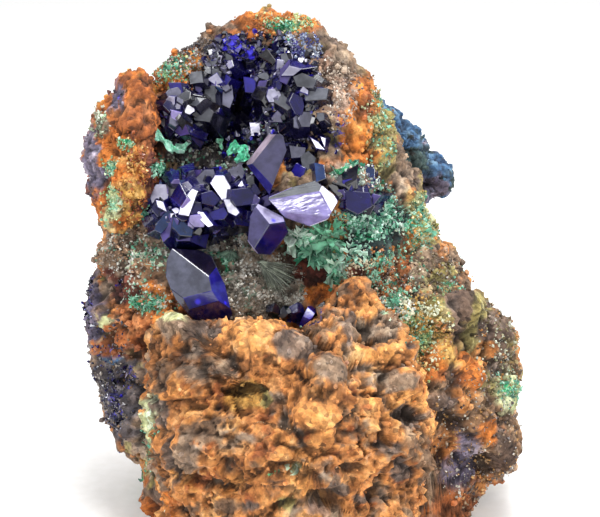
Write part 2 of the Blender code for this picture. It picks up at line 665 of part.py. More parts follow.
def corners_of(faces):
    """The corners of the convex solid inside flat faces: where three faces meet inside the rest.

    Each face is (point, normal) in mm of the upright frame.
    """
    points = np.array([point for point, _ in faces])
    normals = np.array([normal for _, normal in faces])
    offsets = (points * normals).sum(axis=1)
    threes = np.array(list(itertools.combinations(range(len(faces)), 3)))
    matrices, right_sides = normals[threes], offsets[threes]
    sound = abs(np.linalg.det(matrices)) > 1e-6
    meeting = np.linalg.solve(matrices[sound], right_sides[sound][..., None])[..., 0]
    inside = (meeting @ normals.T <= offsets + 1e-6).all(axis=1)
    return meeting[inside]


def shown_faces(faces, grow=0.0):
    """Faces given as the view shows them, brought to the upright frame and moved outwards by `grow` mm."""
    brought = [(seen(*point), turned(normal)) for point, normal in faces]
    return [(point + grow * normal, normal) for point, normal in brought]


def habit_faces(place, axis, length, width, turn, grow=0.0):
    """A blocky azurite crystal: a six-sided section wider than thick, and a roof-like tip."""
    aside = np.cross(axis, (0.31, 0.17, 0.93))
    aside /= np.linalg.norm(aside)
    over = np.cross(axis, aside)
    turn = math.radians(turn)
    wide = aside * math.cos(turn) + over * math.sin(turn)
    thin = np.cross(axis, wide)
    tip = place + axis * length
    sides = [
        (wide, 0.5),
        (-wide, 0.5),
        (thin, 0.34),
        (-thin, 0.34),
        (wide * 0.6 + thin * 0.8, 0.44),
        (-wide * 0.6 - thin * 0.8, 0.44),
    ]
    faces = [(place + side * share * width, side / np.linalg.norm(side)) for side, share in sides]
    for slant in (0.9 * wide, 0.3 * thin - 0.6 * wide):
        normal = axis + slant
        faces.append((tip, normal / np.linalg.norm(normal)))
    faces.append((place - axis * length * 0.4, -axis))
    return [(point + grow * normal, normal) for point, normal in faces]


def out_of_the_rock(right, up):
    """The direction out of the rock's front where the view shows (right, up), from its slopes there."""
    step = 0.8
    across = (front_toward(right + step, up) - front_toward(right - step, up)) / (2 * step)
    along = (front_toward(right, up + step) - front_toward(right, up - step)) / (2 * step)
    return np.array([-across, -along, 1.0])


def crystals(rows, grow=0.0):
    """The faces of each crystal of a list by habit."""
    found = []
    for right, up, lift, length, width, lean, turn in rows:
        out = out_of_the_rock(right, up)
        axis = turned(out / np.linalg.norm(out) + np.array([*lean, 0.0]))
        middle = seen(right, up, front_toward(right, up) + lift)
        found.append(habit_faces(middle - axis * length * 0.45, axis, length * 0.95, width, turn, grow))
    return found


def spray(root, way, length, width, count, spread):
    """The corners of a root knob and of each blade of a spray: pointed leaves that fan out from the knob."""
    right, up, lift = root
    origin = seen(right, up, front_toward(right, up) + lift)
    way = turned(way)
    across = np.cross(way, turned((0.2, 0.9, 0.4)))
    across /= np.linalg.norm(across)
    over = np.cross(way, across)
    found = [origin + KNOB_SIZE * length * KNOB]
    for number in range(count):
        share = number / (count - 1) - 0.5
        swing = math.radians(spread) * share
        roll = 2.4 * number
        axis = way * math.cos(swing) + across * math.sin(swing) + over * 0.25 * math.sin(roll)
        axis /= np.linalg.norm(axis)
        flat = np.cross(axis, over * math.cos(roll) + across * math.sin(roll))
        flat /= np.linalg.norm(flat)
        thick = np.cross(axis, flat)
        reach = length * (1 - 0.5 * abs(share))
        shoulder = origin + axis * reach * 0.62
        sides = (flat * 0.5, -flat * 0.5, thick * 0.25, -thick * 0.25)
        ends = (origin - axis * 0.3, origin + axis * reach)
        found.append(np.array([*ends, *(shoulder + width * at for at in sides)]))
    return found


def sheet(edge, grow):
    """A low mass of crystal on the rock's front, inside an edge: following the rock, with a slight bulge."""
    across, along, side, faces = two_sided_grid(SHEET_CELLS)
    share, angle = disc_of_square(across, along)
    reach, bulge = squared_quarter(share, 2.6, 0.2)
    centre = np.mean(edge, axis=0)
    radius, _ = rim_at([(right, up, 0.0) for right, up in edge], centre, angle)
    right = centre[0] + reach * (radius + grow) * np.cos(angle)
    up = centre[1] + reach * (radius + grow) * np.sin(angle)
    points = seen(right, up, front_toward(right, up))
    out = np.array([turned(out_of_the_rock(*spot)) for spot in zip(right, up)])
    raised = np.where(side > 0, SHEET_THICKNESS * bulge + SHEET_RIM, -SHEET_ROOT) + grow * side
    return points + out * (rock_texture(points) + raised)[:, None], faces


def evaluated(obj):
    """A mesh with the object's modifiers applied."""
    return bpy.data.meshes.new_from_object(obj.evaluated_get(bpy.context.evaluated_depsgraph_get()))


def solid(name, corners, material):
    """The convex solid round some corners."""
    bm = bmesh.new()
    verts = [bm.verts.new(corner * MM) for corner in corners]
    made = bmesh.ops.convex_hull(bm, input=verts)
    spare = {*made["geom_interior"], *made["geom_unused"]}
    bmesh.ops.delete(bm, geom=[item for item in spare if item in verts], context="VERTS")
    bmesh.ops.recalc_face_normals(bm, faces=bm.faces)
    mesh = bpy.data.meshes.new(name)
    bm.to_mesh(mesh)
    bm.free()
    obj = bpy.data.objects.new(name, mesh)
    bpy.context.scene.collection.objects.link(obj)
    mesh.materials.append(material)
    return obj


def islands(bm):
    """The separate parts of a bmesh, each as a set of faces that meet along edges."""
    left, parts = set(bm.faces), []
    while left:
        part, reached = set(), [next(iter(left))]
        while reached:
            face = reached.pop()
            if face not in part:
                part.add(face)
                reached += [other for edge in face.edges for other in edge.link_faces]
        left -= part
        parts.append(part)
    return parts


def cleaned(mesh):
    """Drops all but the largest part of a mesh, and returns its volume, or 0 where it isn't closed."""
    bm = bmesh.new()
    bm.from_mesh(mesh)
    parts = islands(bm)
    largest = max(parts, key=len, default=set())
    crumbs = [face for part in parts if part is not largest for face in part]
    bmesh.ops.delete(bm, geom=crumbs, context="FACES")
    closed = all(edge.is_manifold for edge in bm.edges)
    volume = bm.calc_volume() if closed else 0.0
    bm.to_mesh(mesh)
    bm.free()
    return volume


def combine(obj, operation, kept, **operand):
    """Applies one Boolean, which has to keep a share of the volume. The second solver is for where the first fails."""
    before = cleaned(obj.data)
    for solver in ("EXACT", "MANIFOLD"):
        modifier = obj.modifiers.new(operation.title(), "BOOLEAN")
        modifier.operation = operation
        modifier.solver = solver
        for key, value in operand.items():
            setattr(modifier, key, value)
        mesh = evaluated(obj)
        obj.modifiers.clear()
        after = cleaned(mesh)
        if after > kept * before:
            break
    obj.data = mesh


def joined(name, pieces):
    """One object of many overlapping closed ones: a Boolean unites them, and only the result stays."""
    base, *others = pieces
    held = bpy.data.collections.new(name)
    for other in others:
        held.objects.link(other)
    if others:
        combine(base, "UNION", 0.99, operand_type="COLLECTION", collection=held)
    base.name = name
    for other in others:
        bpy.data.objects.remove(other)
    bpy.data.collections.remove(held)
    return base


def near(obj, other):
    """Whether two objects' boxes overlap."""
    ends = []
    for each in (obj, other):
        corners = np.array([each.matrix_world @ Vector(corner) for corner in each.bound_box])
        ends.append((corners.min(axis=0), corners.max(axis=0)))
    (low, high), (other_low, other_high) = ends
    return (low < other_high).all() and (other_low < high).all()


def settle(obj, others):
    """Cuts a piece by each of the others that it meets."""
    for other in others:
        if near(obj, other):
            combine(obj, "DIFFERENCE", LEAST_KEPT, object=other)


def rock(material):
    """The rock: its forms joined, and cut off flat at the bottom."""
    stone = joined("limonite_matrix", rock_forms(0.0, material))
    bpy.ops.mesh.primitive_cube_add(size=1)
    ground = helper(bpy.context.object)
    ground.name = "base_cutter"
    ground.scale = (GROUND_WIDTH * MM, GROUND_WIDTH * MM, GROUND_DEPTH * MM)
    ground.location = (0, 0, -GROUND_DEPTH * MM / 2)
    bpy.ops.object.transform_apply(location=True, rotation=False, scale=True)
    settle(stone, [ground])


def crystal_group(name, by_hand, by_habit, edge, grown_rock, neighbours, material):
    """Adds one group of crystals, cut to fit, and returns its grown copy for the groups after it."""
    copies = []
    for grow in (0.0, GAP):
        faces = [shown_faces(shape, grow) for shape in by_hand] + crystals(by_habit, grow)
        pieces = [solid("crystal", corners_of(shape), material) for shape in faces]
        if edge:
            pieces.insert(0, mesh_object("sheet", *sheet(edge, grow), material))
        copies.append(joined(f"{name}_grown" if grow else name, pieces))
    settle(copies[0], grown_rock + neighbours)
    return helper(copies[1])


def main():
    for obj in list(bpy.data.objects):
        bpy.data.objects.remove(obj)
    azurite = finish("azurite", (0.02, 0.03, 0.25), 0.15)
    malachite = finish("malachite", (0.05, 0.40, 0.22), 0.4)
    rock(finish("limonite", (0.45, 0.24, 0.10), 0.85))
    nodule = mesh_object("azurite_back_nodule", *nodule_form(), azurite)
    grown = [helper(form) for form in rock_forms(GAP, None)]
    settle(nodule, grown)
    by_hand = [UPRIGHT_BLADE, BRIGHT_CRYSTAL, WEDGE_CRYSTAL]
    large = crystal_group("azurite_large_crystal", [LARGE_CRYSTAL], [], None, grown, [], azurite)
    middle = crystal_group("azurite_cluster", by_hand, CLUSTER_CRYSTALS, CLUSTER_EDGE, grown, [], azurite)
    right = crystal_group("azurite_right_crystals", [], RIGHT_CRYSTALS, RIGHT_EDGE, grown, [middle], azurite)
    seam = crystal_group("azurite_seam", [], SEAM_CRYSTALS, SEAM_EDGE, grown, [large], azurite)
    crust = crystal_group("azurite_vug_crust", [], CRUST_CRYSTALS, CRUST_EDGE, grown, [middle], azurite)
    for name, shape in SPRAYS.items():
        pieces = [solid("blade", corners, malachite) for corners in spray(*shape)]
        settle(joined(name, pieces), grown + [large, middle, right, seam, crust])


main()
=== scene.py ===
"""The finished surfaces of an azurite specimen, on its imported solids.

Sizes are in millimetres until a mesh is written. Places are read as a viewer in front sees them: right and up of
the view's middle, and toward the viewer.
"""

import itertools
import math

import bpy
import numpy as np
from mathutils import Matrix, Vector


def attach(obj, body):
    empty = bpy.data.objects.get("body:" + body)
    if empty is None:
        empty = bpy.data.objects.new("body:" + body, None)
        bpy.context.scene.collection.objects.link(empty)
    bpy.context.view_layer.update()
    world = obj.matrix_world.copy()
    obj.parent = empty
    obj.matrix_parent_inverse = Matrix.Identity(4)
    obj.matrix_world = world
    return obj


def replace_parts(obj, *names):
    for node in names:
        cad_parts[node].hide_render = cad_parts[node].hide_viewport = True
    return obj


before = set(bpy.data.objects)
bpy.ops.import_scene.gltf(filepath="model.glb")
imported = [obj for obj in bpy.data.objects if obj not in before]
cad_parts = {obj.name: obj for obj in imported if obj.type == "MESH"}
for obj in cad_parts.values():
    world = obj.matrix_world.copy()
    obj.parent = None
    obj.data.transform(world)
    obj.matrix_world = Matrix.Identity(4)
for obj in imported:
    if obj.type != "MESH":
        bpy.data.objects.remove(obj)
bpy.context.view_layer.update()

MM = 0.001
VIEW_TILT = math.radians(15.0)
VIEW_REACH = 170.0
VIEW_MIDDLE = (0.0, -1.0, 29.0)
VIEW_WIDTH = 60.0
PATTERN_SHIFT = np.array([0.0, 10.0, 0.0])

BODY_CELLS = 210
BLOCK_CELLS = 190
WALL_CELLS = 90
NODULE_CELLS = 80

# The rock's forms as the view shows them: outlines and spot heights, each (right, up, toward)
BODY_CENTRE = (0.0, -4.0)
BODY_OUTLINE = [
    (-7.6, 23.0, -11.0), (-5.0, 23.9, -12.0), (-1.2, 24.4, -12.0), (0.7, 23.4, -11.0), (3.2, 22.0, -10.0),
    (5.0, 20.6, -10.0), (6.7, 17.8, -11.0), (8.0, 15.5, -12.0), (9.9, 10.8, -13.0), (11.7, 6.2, -12.0),
    (13.1, 4.0, -11.0), (13.4, 2.0, -11.0), (15.6, -1.6, -12.0), (17.0, -3.6, -12.0), (19.6, -5.3, -11.0),
    (21.2, -7.8, -10.0), (21.6, -10.5, -10.0), (22.1, -13.0, -9.0), (21.7, -15.2, -9.0),
    (21.9, -18.6, -8.0), (21.4, -20.6, -8.0), (19.0, -22.6, -8.0), (17.4, -24.0, -8.0),
    (16.6, -27.5, -8.0), (15.0, -31.5, -8.0), (10.0, -32.5, -8.0), (0.0, -33.5, -8.0),
    (-9.0, -32.5, -8.0), (-13.6, -31.5, -8.0), (-14.9, -26.0, -8.0), (-15.8, -22.8, -8.0),
    (-15.6, -20.4, -8.0), (-18.2, -18.2, -8.0), (-19.3, -14.5, -9.0), (-20.2, -10.4, -10.0),
    (-21.0, -6.8, -10.0), (-20.3, -2.0, -10.0), (-19.4, 2.0, -9.0), (-19.8, 6.0, -10.0),
    (-19.6, 12.0, -11.0), (-17.6, 16.0, -11.0), (-14.4, 17.9, -11.0), (-13.4, 20.0, -11.0),
    (-11.2, 20.8, -11.0), (-9.8, 21.4, -11.0),
]
BODY_FRONT = [
    (-3.0, 22.5, -8.5), (2.5, 19.8, -5.0), (-1.5, 16.6, -4.8), (-5.5, 19.0, -11.0), (5.0, 14.8, -3.8),
    (7.4, 10.4, -5.2), (-12.0, 15.4, -5.0), (-8.0, 17.2, -8.5), (-6.0, 13.4, -15.0), (-10.2, 10.6, -8.5),
    (-2.0, 11.6, -8.0), (-16.5, 12.0, -4.0), (-17.5, 5.6, -4.5), (-18.6, 2.2, -5.5), (-11.0, 5.4, -2.6),
    (-3.6, 9.0, -5.4), (-4.0, 5.6, -2.2), (2.6, 6.0, -2.2), (-7.0, 1.6, -7.0), (7.6, 5.2, -2.6),
    (12.0, 2.2, -7.0), (-15.0, 1.0, -3.2), (-15.8, -5.0, -1.0), (-17.0, -11.0, -3.0), (-6.0, -3.0, -1.4),
    (-10.5, -5.6, -0.6), (0.6, -0.6, -7.0), (1.0, -3.6, -3.2), (6.4, -1.0, -1.4), (12.0, -4.4, -1.8),
    (17.0, -8.4, -4.4), (14.0, -12.4, 0.6), (18.4, -16.0, -2.2), (17.0, -22.0, -3.0), (0.0, -15.0, 3.0),
    (-12.0, -15.0, 0.0), (-13.4, -25.0, -1.0), (0.0, -30.0, 2.0),
]
BODY_BACK = [
    (-3.0, 18.0, -23.0), (5.0, 9.0, -24.0), (-12.0, 8.0, -24.0), (10.0, -6.0, -25.0), (-8.0, -8.0, -26.0),
    (12.0, -20.0, -24.0), (0.0, -24.0, -27.0), (-10.0, -28.0, -24.0),
]
BLOCK_CENTRE = (-1.0, -19.0)
BLOCK_OUTLINE = [
    (-14.4, -7.6, 3.0), (-13.0, -6.0, 2.0), (-11.4, -6.6, 3.0), (-9.4, -7.8, 4.0), (-7.4, -7.0, 5.0),
    (-5.4, -6.4, 5.0), (-2.6, -6.6, 5.0), (-0.6, -6.8, 5.0), (1.8, -5.6, 3.0), (3.6, -3.0, 1.0),
    (5.6, -2.4, 1.2), (7.4, -3.8, 1.0), (9.2, -6.2, 2.0), (11.0, -8.8, 3.0), (12.4, -11.2, 3.0),
    (12.6, -14.0, 3.0), (13.4, -17.0, 2.0), (12.6, -21.0, 2.0), (11.6, -25.0, 2.0), (10.4, -31.0, 3.0),
    (7.0, -36.0, 3.0), (0.0, -38.0, 4.0), (-7.0, -36.0, 3.0), (-11.4, -30.0, 2.0), (-13.2, -24.5, 1.0),
    (-14.2, -19.5, 0.0), (-15.4, -15.0, 0.0), (-15.4, -11.0, 1.0),
]
BLOCK_FRONT = [
    (-13.0, -8.2, 6.0), (-9.0, -10.0, 8.5), (-5.0, -8.4, 9.0), (-1.0, -8.8, 10.0), (3.0, -8.0, 7.0),
    (5.4, -4.4, 3.4), (9.0, -9.0, 6.5), (-4.2, -13.6, 8.2), (3.0, -13.0, 11.0), (10.4, -13.0, 7.0),
    (-12.6, -14.0, 8.0), (-9.0, -18.0, 10.0), (0.0, -19.0, 11.5), (8.0, -18.0, 9.4), (11.0, -22.0, 6.0),
    (-11.0, -24.0, 6.5), (-3.0, -26.0, 10.0), (6.0, -27.0, 8.0), (0.0, -35.0, 8.0),
]
BLOCK_BACK = [
    (0.0, -20.0, -8.0),
]
WALL_CENTRE = (-17.5, 10.0)
WALL_OUTLINE = [
    (-18.2, 17.7, -7.0), (-17.1, 18.4, -7.0), (-15.9, 18.6, -6.0), (-14.8, 17.9, -6.0),
    (-14.6, 15.0, -5.0), (-14.9, 11.0, -5.0), (-14.9, 7.4, -4.0), (-15.3, 4.8, -4.0), (-16.6, 3.4, -5.0),
    (-18.8, 2.7, -7.0), (-20.2, 5.0, -8.0), (-20.9, 8.4, -9.0), (-21.4, 11.4, -9.0), (-20.6, 13.0, -9.0),
    (-20.4, 14.4, -9.0), (-19.4, 15.6, -8.0), (-18.2, 16.6, -7.0),
]
WALL_FRONT = [
    (-16.6, 16.4, -1.6), (-16.4, 12.4, 0.4), (-18.8, 12.0, -3.0), (-16.6, 8.6, 0.8), (-19.2, 7.4, -3.2),
    (-17.4, 5.0, -1.0),
]
WALL_BACK = [
    (-17.5, 10.0, -17.0),
]
NODULE_CENTRE = (10.6, 9.4)
NODULE_OUTLINE = [
    (5.6, 14.0, -17.0), (8.2, 15.6, -17.0), (9.4, 14.8, -17.0), (10.1, 13.6, -17.0), (11.6, 12.8, -18.0),
    (12.3, 11.8, -18.0), (12.7, 10.5, -18.0), (14.4, 9.8, -19.0), (15.2, 7.8, -19.0), (14.3, 6.2, -19.0),
    (13.3, 6.5, -18.0), (12.0, 5.4, -18.0), (9.0, 4.0, -18.0), (5.0, 5.0, -18.0), (3.4, 9.0, -18.0),
]
NODULE_FRONT = [
    (10.8, 12.0, -14.0), (10.6, 7.6, -13.4), (13.6, 8.0, -15.4),
]
NODULE_BACK = [
    (10.6, 9.4, -24.0),
]
LARGE_CRYSTAL = [
    ((-11.4, -0.05, -0.62), (-0.22, 0.30, 0.93)), ((-11.4, -0.05, -0.62), (0.30, 0.77, 0.564)),
    ((-9.1, -1.75, 0.48), (0.748, 0.388, 0.538)), ((-10.6, -3.7, 0.75), (-0.10, -0.20, 0.97)),
    ((-10.5, -4.95, 0.5), (0.10, -0.72, 0.69)), ((-12.2, -3.8, 0.2), (-0.62, -0.42, 0.66)),
    ((-12.8, 1.0, -2.0), (0.06, 0.998, 0.0)), ((-10.0, 0.75, -2.0), (0.42, 0.90, 0.0)),
    ((-8.1, -1.3, -2.0), (0.90, 0.44, 0.0)), ((-6.95, -4.6, -2.0), (0.97, 0.24, 0.0)),
    ((-7.3, -6.5, -2.0), (0.86, -0.50, 0.0)), ((-8.4, -7.45, -2.0), (0.30, -0.95, 0.0)),
    ((-9.9, -6.7, -2.0), (-0.62, -0.78, 0.0)), ((-11.5, -5.0, -2.0), (-0.76, -0.65, 0.0)),
    ((-12.9, -2.7, -2.0), (-0.92, -0.40, 0.0)), ((-13.3, -1.2, -2.0), (-0.995, 0.05, 0.0)),
    ((-13.1, 0.2, -2.0), (-0.93, 0.37, 0.0)), ((-11.0, -3.0, -6.5), (0.0, 0.0, -1.0)),
]
UPRIGHT_BLADE = [
    ((-2.8, 9.5, -1.4), (-0.1, 0.36, 0.93)), ((-3.6, 10.9, -2.0), (-0.66, 0.64, 0.4)),
    ((-4.6, 8.4, -2.1), (-0.72, -0.38, 0.58)), ((-1.5, 12.3, -3.0), (0.1, 0.99, 0.0)),
    ((-1.4, 11.0, -3.0), (0.97, 0.24, 0.0)), ((-2.2, 8.5, -3.0), (0.93, -0.36, 0.0)),
    ((-2.9, 5.8, -3.0), (0.0, -1.0, 0.0)), ((-4.0, 7.6, -3.0), (-0.8, -0.6, 0.0)),
    ((-5.3, 9.0, -3.0), (-0.99, -0.1, 0.0)), ((-4.9, 10.2, -3.0), (-0.8, 0.6, 0.0)),
    ((-2.8, 8.0, -3.6), (0.05, -0.1, -0.99)),
]
BRIGHT_CRYSTAL = [
    ((0.4, 5.6, 1.4), (-0.05, -0.1, 0.99)), ((0.8, 6.6, 1.4), (-0.16, 0.68, 0.71)),
    ((3.2, 6.0, 0.8), (0.62, 0.3, 0.72)), ((0.4, 4.0, 0.8), (-0.1, -0.72, 0.68)),
    ((1.2, 7.7, 0.0), (-0.28, 0.96, 0.0)), ((2.4, 7.1, 0.0), (0.62, 0.78, 0.0)),
    ((3.6, 6.0, 0.0), (0.86, 0.5, 0.0)), ((3.3, 4.8, 0.0), (0.86, -0.5, 0.0)),
    ((2.0, 3.6, 0.0), (0.36, -0.93, 0.0)), ((0.2, 3.5, 0.0), (-0.32, -0.95, 0.0)),
    ((-2.0, 4.6, 0.0), (-0.72, -0.69, 0.0)), ((-3.2, 5.9, 0.0), (-0.97, 0.2, 0.0)),
    ((-2.0, 6.6, 0.0), (-0.4, 0.92, 0.0)), ((0.4, 5.6, -2.6), (0.0, 0.0, -1.0)),
]
WEDGE_CRYSTAL = [
    ((-4.4, 3.0, 1.3), (-0.52, 0.1, 0.85)), ((-3.2, 2.6, 1.6), (0.5, -0.52, 0.69)),
    ((-2.6, 4.3, 1.0), (0.3, 0.66, 0.69)), ((-3.6, 5.2, 0.0), (0.46, 0.89, 0.0)),
    ((-1.4, 3.4, 0.0), (0.96, 0.28, 0.0)), ((-2.2, 1.3, 0.0), (0.78, -0.62, 0.0)),
    ((-3.6, 0.4, 0.0), (-0.06, -1.0, 0.0)), ((-4.8, 1.2, 0.0), (-0.8, -0.6, 0.0)),
    ((-5.1, 3.2, 0.0), (-0.99, 0.1, 0.0)), ((-4.7, 4.7, 0.0), (-0.88, 0.48, 0.0)),
    ((-3.6, 3.0, -3.4), (0.0, 0.0, -1.0)),
]
CLUSTER_CRYSTALS = [
    (-13.7, 6.4, 1.6, 4.0, 2.2, (-0.9, 0.4), 10), (-13.4, 4.3, 1.2, 3.4, 1.6, (-0.5, -0.2), 70),
    (-12.8, 3.1, 1.2, 4.0, 1.3, (-0.2, -0.9), 20), (-12.0, 3.6, 1.4, 3.8, 1.9, (0.1, -0.6), 50),
    (-12.4, 6.4, 1.2, 3.4, 1.8, (-0.2, 0.5), 0), (-11.8, 7.3, 1.2, 3.2, 1.6, (-0.1, 0.9), 30),
    (-11.2, 5.6, 2.0, 4.6, 1.5, (0.3, 0.7), 60), (-10.4, 4.3, 1.8, 4.0, 2.0, (-0.3, -0.4), 15),
    (-9.3, 4.9, 1.8, 3.8, 1.8, (0.2, -0.6), 80), (-8.2, 4.4, 1.8, 4.4, 1.8, (0.9, -0.3), 35),
    (-9.4, 7.6, 1.2, 3.6, 2.0, (-0.3, 0.9), 5), (-8.0, 7.2, 2.2, 5.0, 2.4, (0.2, 0.6), 40),
    (-6.5, 7.8, 1.6, 4.0, 1.8, (0.0, 0.9), 75), (-5.6, 6.2, 2.0, 4.4, 2.4, (0.3, 0.1), 25),
    (-6.3, 4.9, 1.4, 3.4, 1.6, (0.5, -0.7), 55), (-1.0, 8.6, 1.0, 4.0, 2.0, (0.6, 0.7), 45),
    (1.2, 9.4, 1.0, 3.8, 1.7, (0.8, 0.6), 10), (0.4, 10.6, 1.0, 3.4, 1.5, (0.4, 0.9), 65),
]
RIGHT_CRYSTALS = [
    (5.4, 5.9, 1.2, 4.0, 2.2, (0.5, 0.3), 20), (6.6, 7.2, 1.2, 3.6, 1.6, (0.8, 0.6), 60),
    (6.2, 5.0, 1.4, 3.6, 1.8, (0.7, -0.4), 0), (4.8, 7.2, 1.0, 3.0, 1.4, (0.2, 0.8), 40),
]
SEAM_CRYSTALS = [
    (-2.8, -5.4, 0.8, 3.0, 1.4, (-0.5, 0.2), 15), (-1.7, -5.9, 1.0, 3.2, 1.5, (-0.2, 0.4), 60),
    (-0.5, -5.5, 1.0, 3.2, 1.5, (0.1, 0.3), 30), (0.8, -5.9, 1.0, 3.0, 1.5, (0.3, 0.5), 80),
    (2.0, -5.3, 0.8, 3.0, 1.4, (0.6, 0.4), 45),
]
CRUST_CRYSTALS = [
    (-13.4, 14.6, 1.0, 3.0, 1.6, (-0.5, 0.4), 10), (-12.4, 15.6, 1.0, 3.4, 1.6, (-0.4, 0.8), 50),
    (-11.4, 13.0, 1.6, 3.8, 1.8, (0.1, 0.5), 30), (-10.4, 15.0, 1.2, 3.4, 1.8, (0.2, 0.6), 0),
    (-9.4, 14.6, 1.6, 4.0, 1.6, (0.4, 0.5), 40), (-9.0, 16.4, 1.4, 3.8, 1.8, (0.1, 0.8), 65),
    (-7.2, 16.9, 1.6, 5.0, 1.4, (0.3, -0.3), 20), (-5.2, 17.4, 1.0, 3.6, 1.6, (0.1, -0.5), 85),
    (-6.2, 20.6, 0.8, 3.0, 1.6, (-0.4, -0.2), 25), (-4.6, 20.0, 1.0, 3.2, 1.6, (0.1, -0.4), 60),
    (-3.0, 21.2, 0.8, 3.0, 1.7, (0.0, -0.1), 5), (-1.0, 20.4, 1.0, 3.4, 1.8, (0.2, -0.3), 45),
    (-2.6, 18.6, 1.0, 3.2, 1.6, (-0.2, -0.2), 35), (-3.6, 16.4, 1.2, 3.6, 1.6, (-0.5, -0.1), 15),
    (-1.0, 17.0, 1.0, 3.2, 1.5, (0.1, 0.2), 55), (0.8, 17.0, 1.0, 3.0, 1.4, (0.5, 0.1), 80),
    (-2.5, 15.6, 1.6, 3.8, 1.7, (0.0, 0.1), 30), (-3.2, 14.4, 1.4, 3.4, 1.5, (-0.3, -0.2), 0),
    (1.4, 15.4, 1.2, 3.6, 1.6, (0.5, 0.2), 40), (-0.6, 14.6, 1.0, 3.0, 1.5, (0.2, -0.1), 65),
    (0.8, 13.4, 1.4, 3.6, 1.8, (0.2, 0.1), 20), (2.4, 13.4, 1.0, 3.2, 1.4, (0.6, 0.0), 50),
    (-4.4, 12.7, 1.6, 4.2, 1.8, (0.3, 0.4), 10), (1.8, 11.6, 1.2, 3.4, 1.5, (0.4, -0.2), 35),
    (-1.2, 12.8, 1.0, 3.0, 1.4, (0.0, 0.3), 60), (-7.6, 13.0, 1.0, 3.4, 1.6, (-0.2, 0.4), 5),
]
BODY_SPOT_REACH = 2.3
BODY_BACK_REACH = 6.0
BODY_BOXINESS = 3.4
BLOCK_SPOT_REACH = 2.2
BLOCK_BOXINESS = 3.0
WALL_SPOT_REACH = 1.6
NODULE_SPOT_REACH = 1.6
NODULE_BOXINESS = 2.6
SMALL_BACK_REACH = 9.0
SIDE_LEAN = 0.22
SOWN_ABOVE = 1.2
VUG_PLACES = [(-3.6, 15.6, 6.0, 6.6), (-10.6, 14.0, 3.4, 3.0), (-6.6, 19.4, 3.0, 2.8)]
SMOOTH_PLACES = [(-0.5, -9.2, 2.4, 2.0), (3.0, -11.2, 2.1, 1.8), (-4.6, -7.8, 2.6, 1.8), (10.0, -12.4, 1.8, 1.4), (1.6, -15.2, 2.0, 1.4)]
SHELF_PLACE = (-9.4, 5.6, 6.4, 3.4)
HOLLOW_PLACE = (-6.1, 16.4, 1.5, 3.6)
CREVICE_STEPS = 14
# Share of small crystal faces painted pale violet-white as glints
PAINTED_GLINT_FACES = 0.05

# Light: how bright the white room is, and each softbox as (name, direction, distance, size, power)
ROOM_LIGHT = 0.5
FLOOR_SIZE = 3.0
SOFTBOXES = [
    ("sky_light", (0.05, 0.92, -0.10), 1.60, 1.50, 11.0),
    ("top_light", (0.10, 0.92, 0.38), 0.40, 0.15, 1.1),
    ("front_light", (-0.22, -0.02, 0.97), 0.45, 0.12, 0.6),
    ("right_light", (0.90, 0.42, 0.10), 0.45, 0.20, 1.3),
    ("left_light", (-0.74, 0.64, 0.22), 0.50, 0.22, 0.9),
]

# Raised and sunken places on the rock: (right, up, half width, half height, raise)
BODY_FEATURES = [
    (15.0, -5.4, 2.6, 2.0, 1.4), (18.5, -20.6, 1.6, 1.4, -2.2), (17.2, -11.4, 2.0, 1.6, 0.7),
    (14.0, -9.4, 1.6, 1.4, 0.6), (19.6, -8.0, 1.8, 1.8, 0.6), (14.8, -16.4, 2.0, 1.2, -1.0),
    (19.0, -15.0, 1.6, 1.4, 0.6), (-15.8, -9.6, 2.0, 0.7, -1.0), (-18.4, -16.0, 1.2, 1.6, -0.8),
    (6.0, 7.2, 1.3, 1.1, 0.8), (4.0, 8.4, 1.1, 0.9, 0.6), (8.6, -1.6, 1.6, 1.0, -0.8),
    (-9.6, 12.4, 2.2, 1.6, -1.4), (-6.1, 16.4, 1.7, 3.8, -3.6), (1.2, 19.4, 1.2, 1.2, 0.5),
]
BLOCK_FEATURES = [
    (-4.8, -8.0, 3.3, 2.2, 1.1), (-0.6, -9.2, 2.3, 2.0, 1.7), (2.8, -11.2, 2.4, 2.0, 1.6),
    (-12.2, -7.4, 1.8, 1.6, 1.3), (-11.2, -11.4, 2.6, 2.0, 0.9), (7.4, -9.4, 3.0, 1.0, 0.9),
    (10.4, -12.4, 1.9, 1.6, 1.2), (1.6, -15.6, 2.4, 1.6, 0.9), (-10.2, -18.4, 3.0, 2.6, 1.0),
    (-5.6, -13.1, 2.6, 0.7, -1.8), (7.4, -7.9, 2.2, 0.4, -0.9), (11.2, -15.6, 1.9, 1.2, -1.9),
    (-12.2, -19.8, 0.5, 2.6, -1.3), (4.6, -21.0, 2.4, 0.7, -1.0), (-1.4, -20.6, 2.4, 0.5, -0.8),
    (5.4, -18.6, 1.6, 1.2, 0.7), (-3.6, -17.6, 2.2, 1.2, 0.6), (-7.2, -22.8, 2.6, 0.6, -1.0),
    (2.6, -24.0, 2.0, 1.2, -1.2), (6.4, -5.6, 1.0, 1.8, -0.9), (-9.0, -14.8, 2.2, 0.4, -0.7),
    (6.6, -13.6, 2.0, 0.4, -0.7), (8.0, -23.6, 1.6, 1.0, -1.0), (-8.0, -11.0, 1.4, 1.2, 0.7),
]

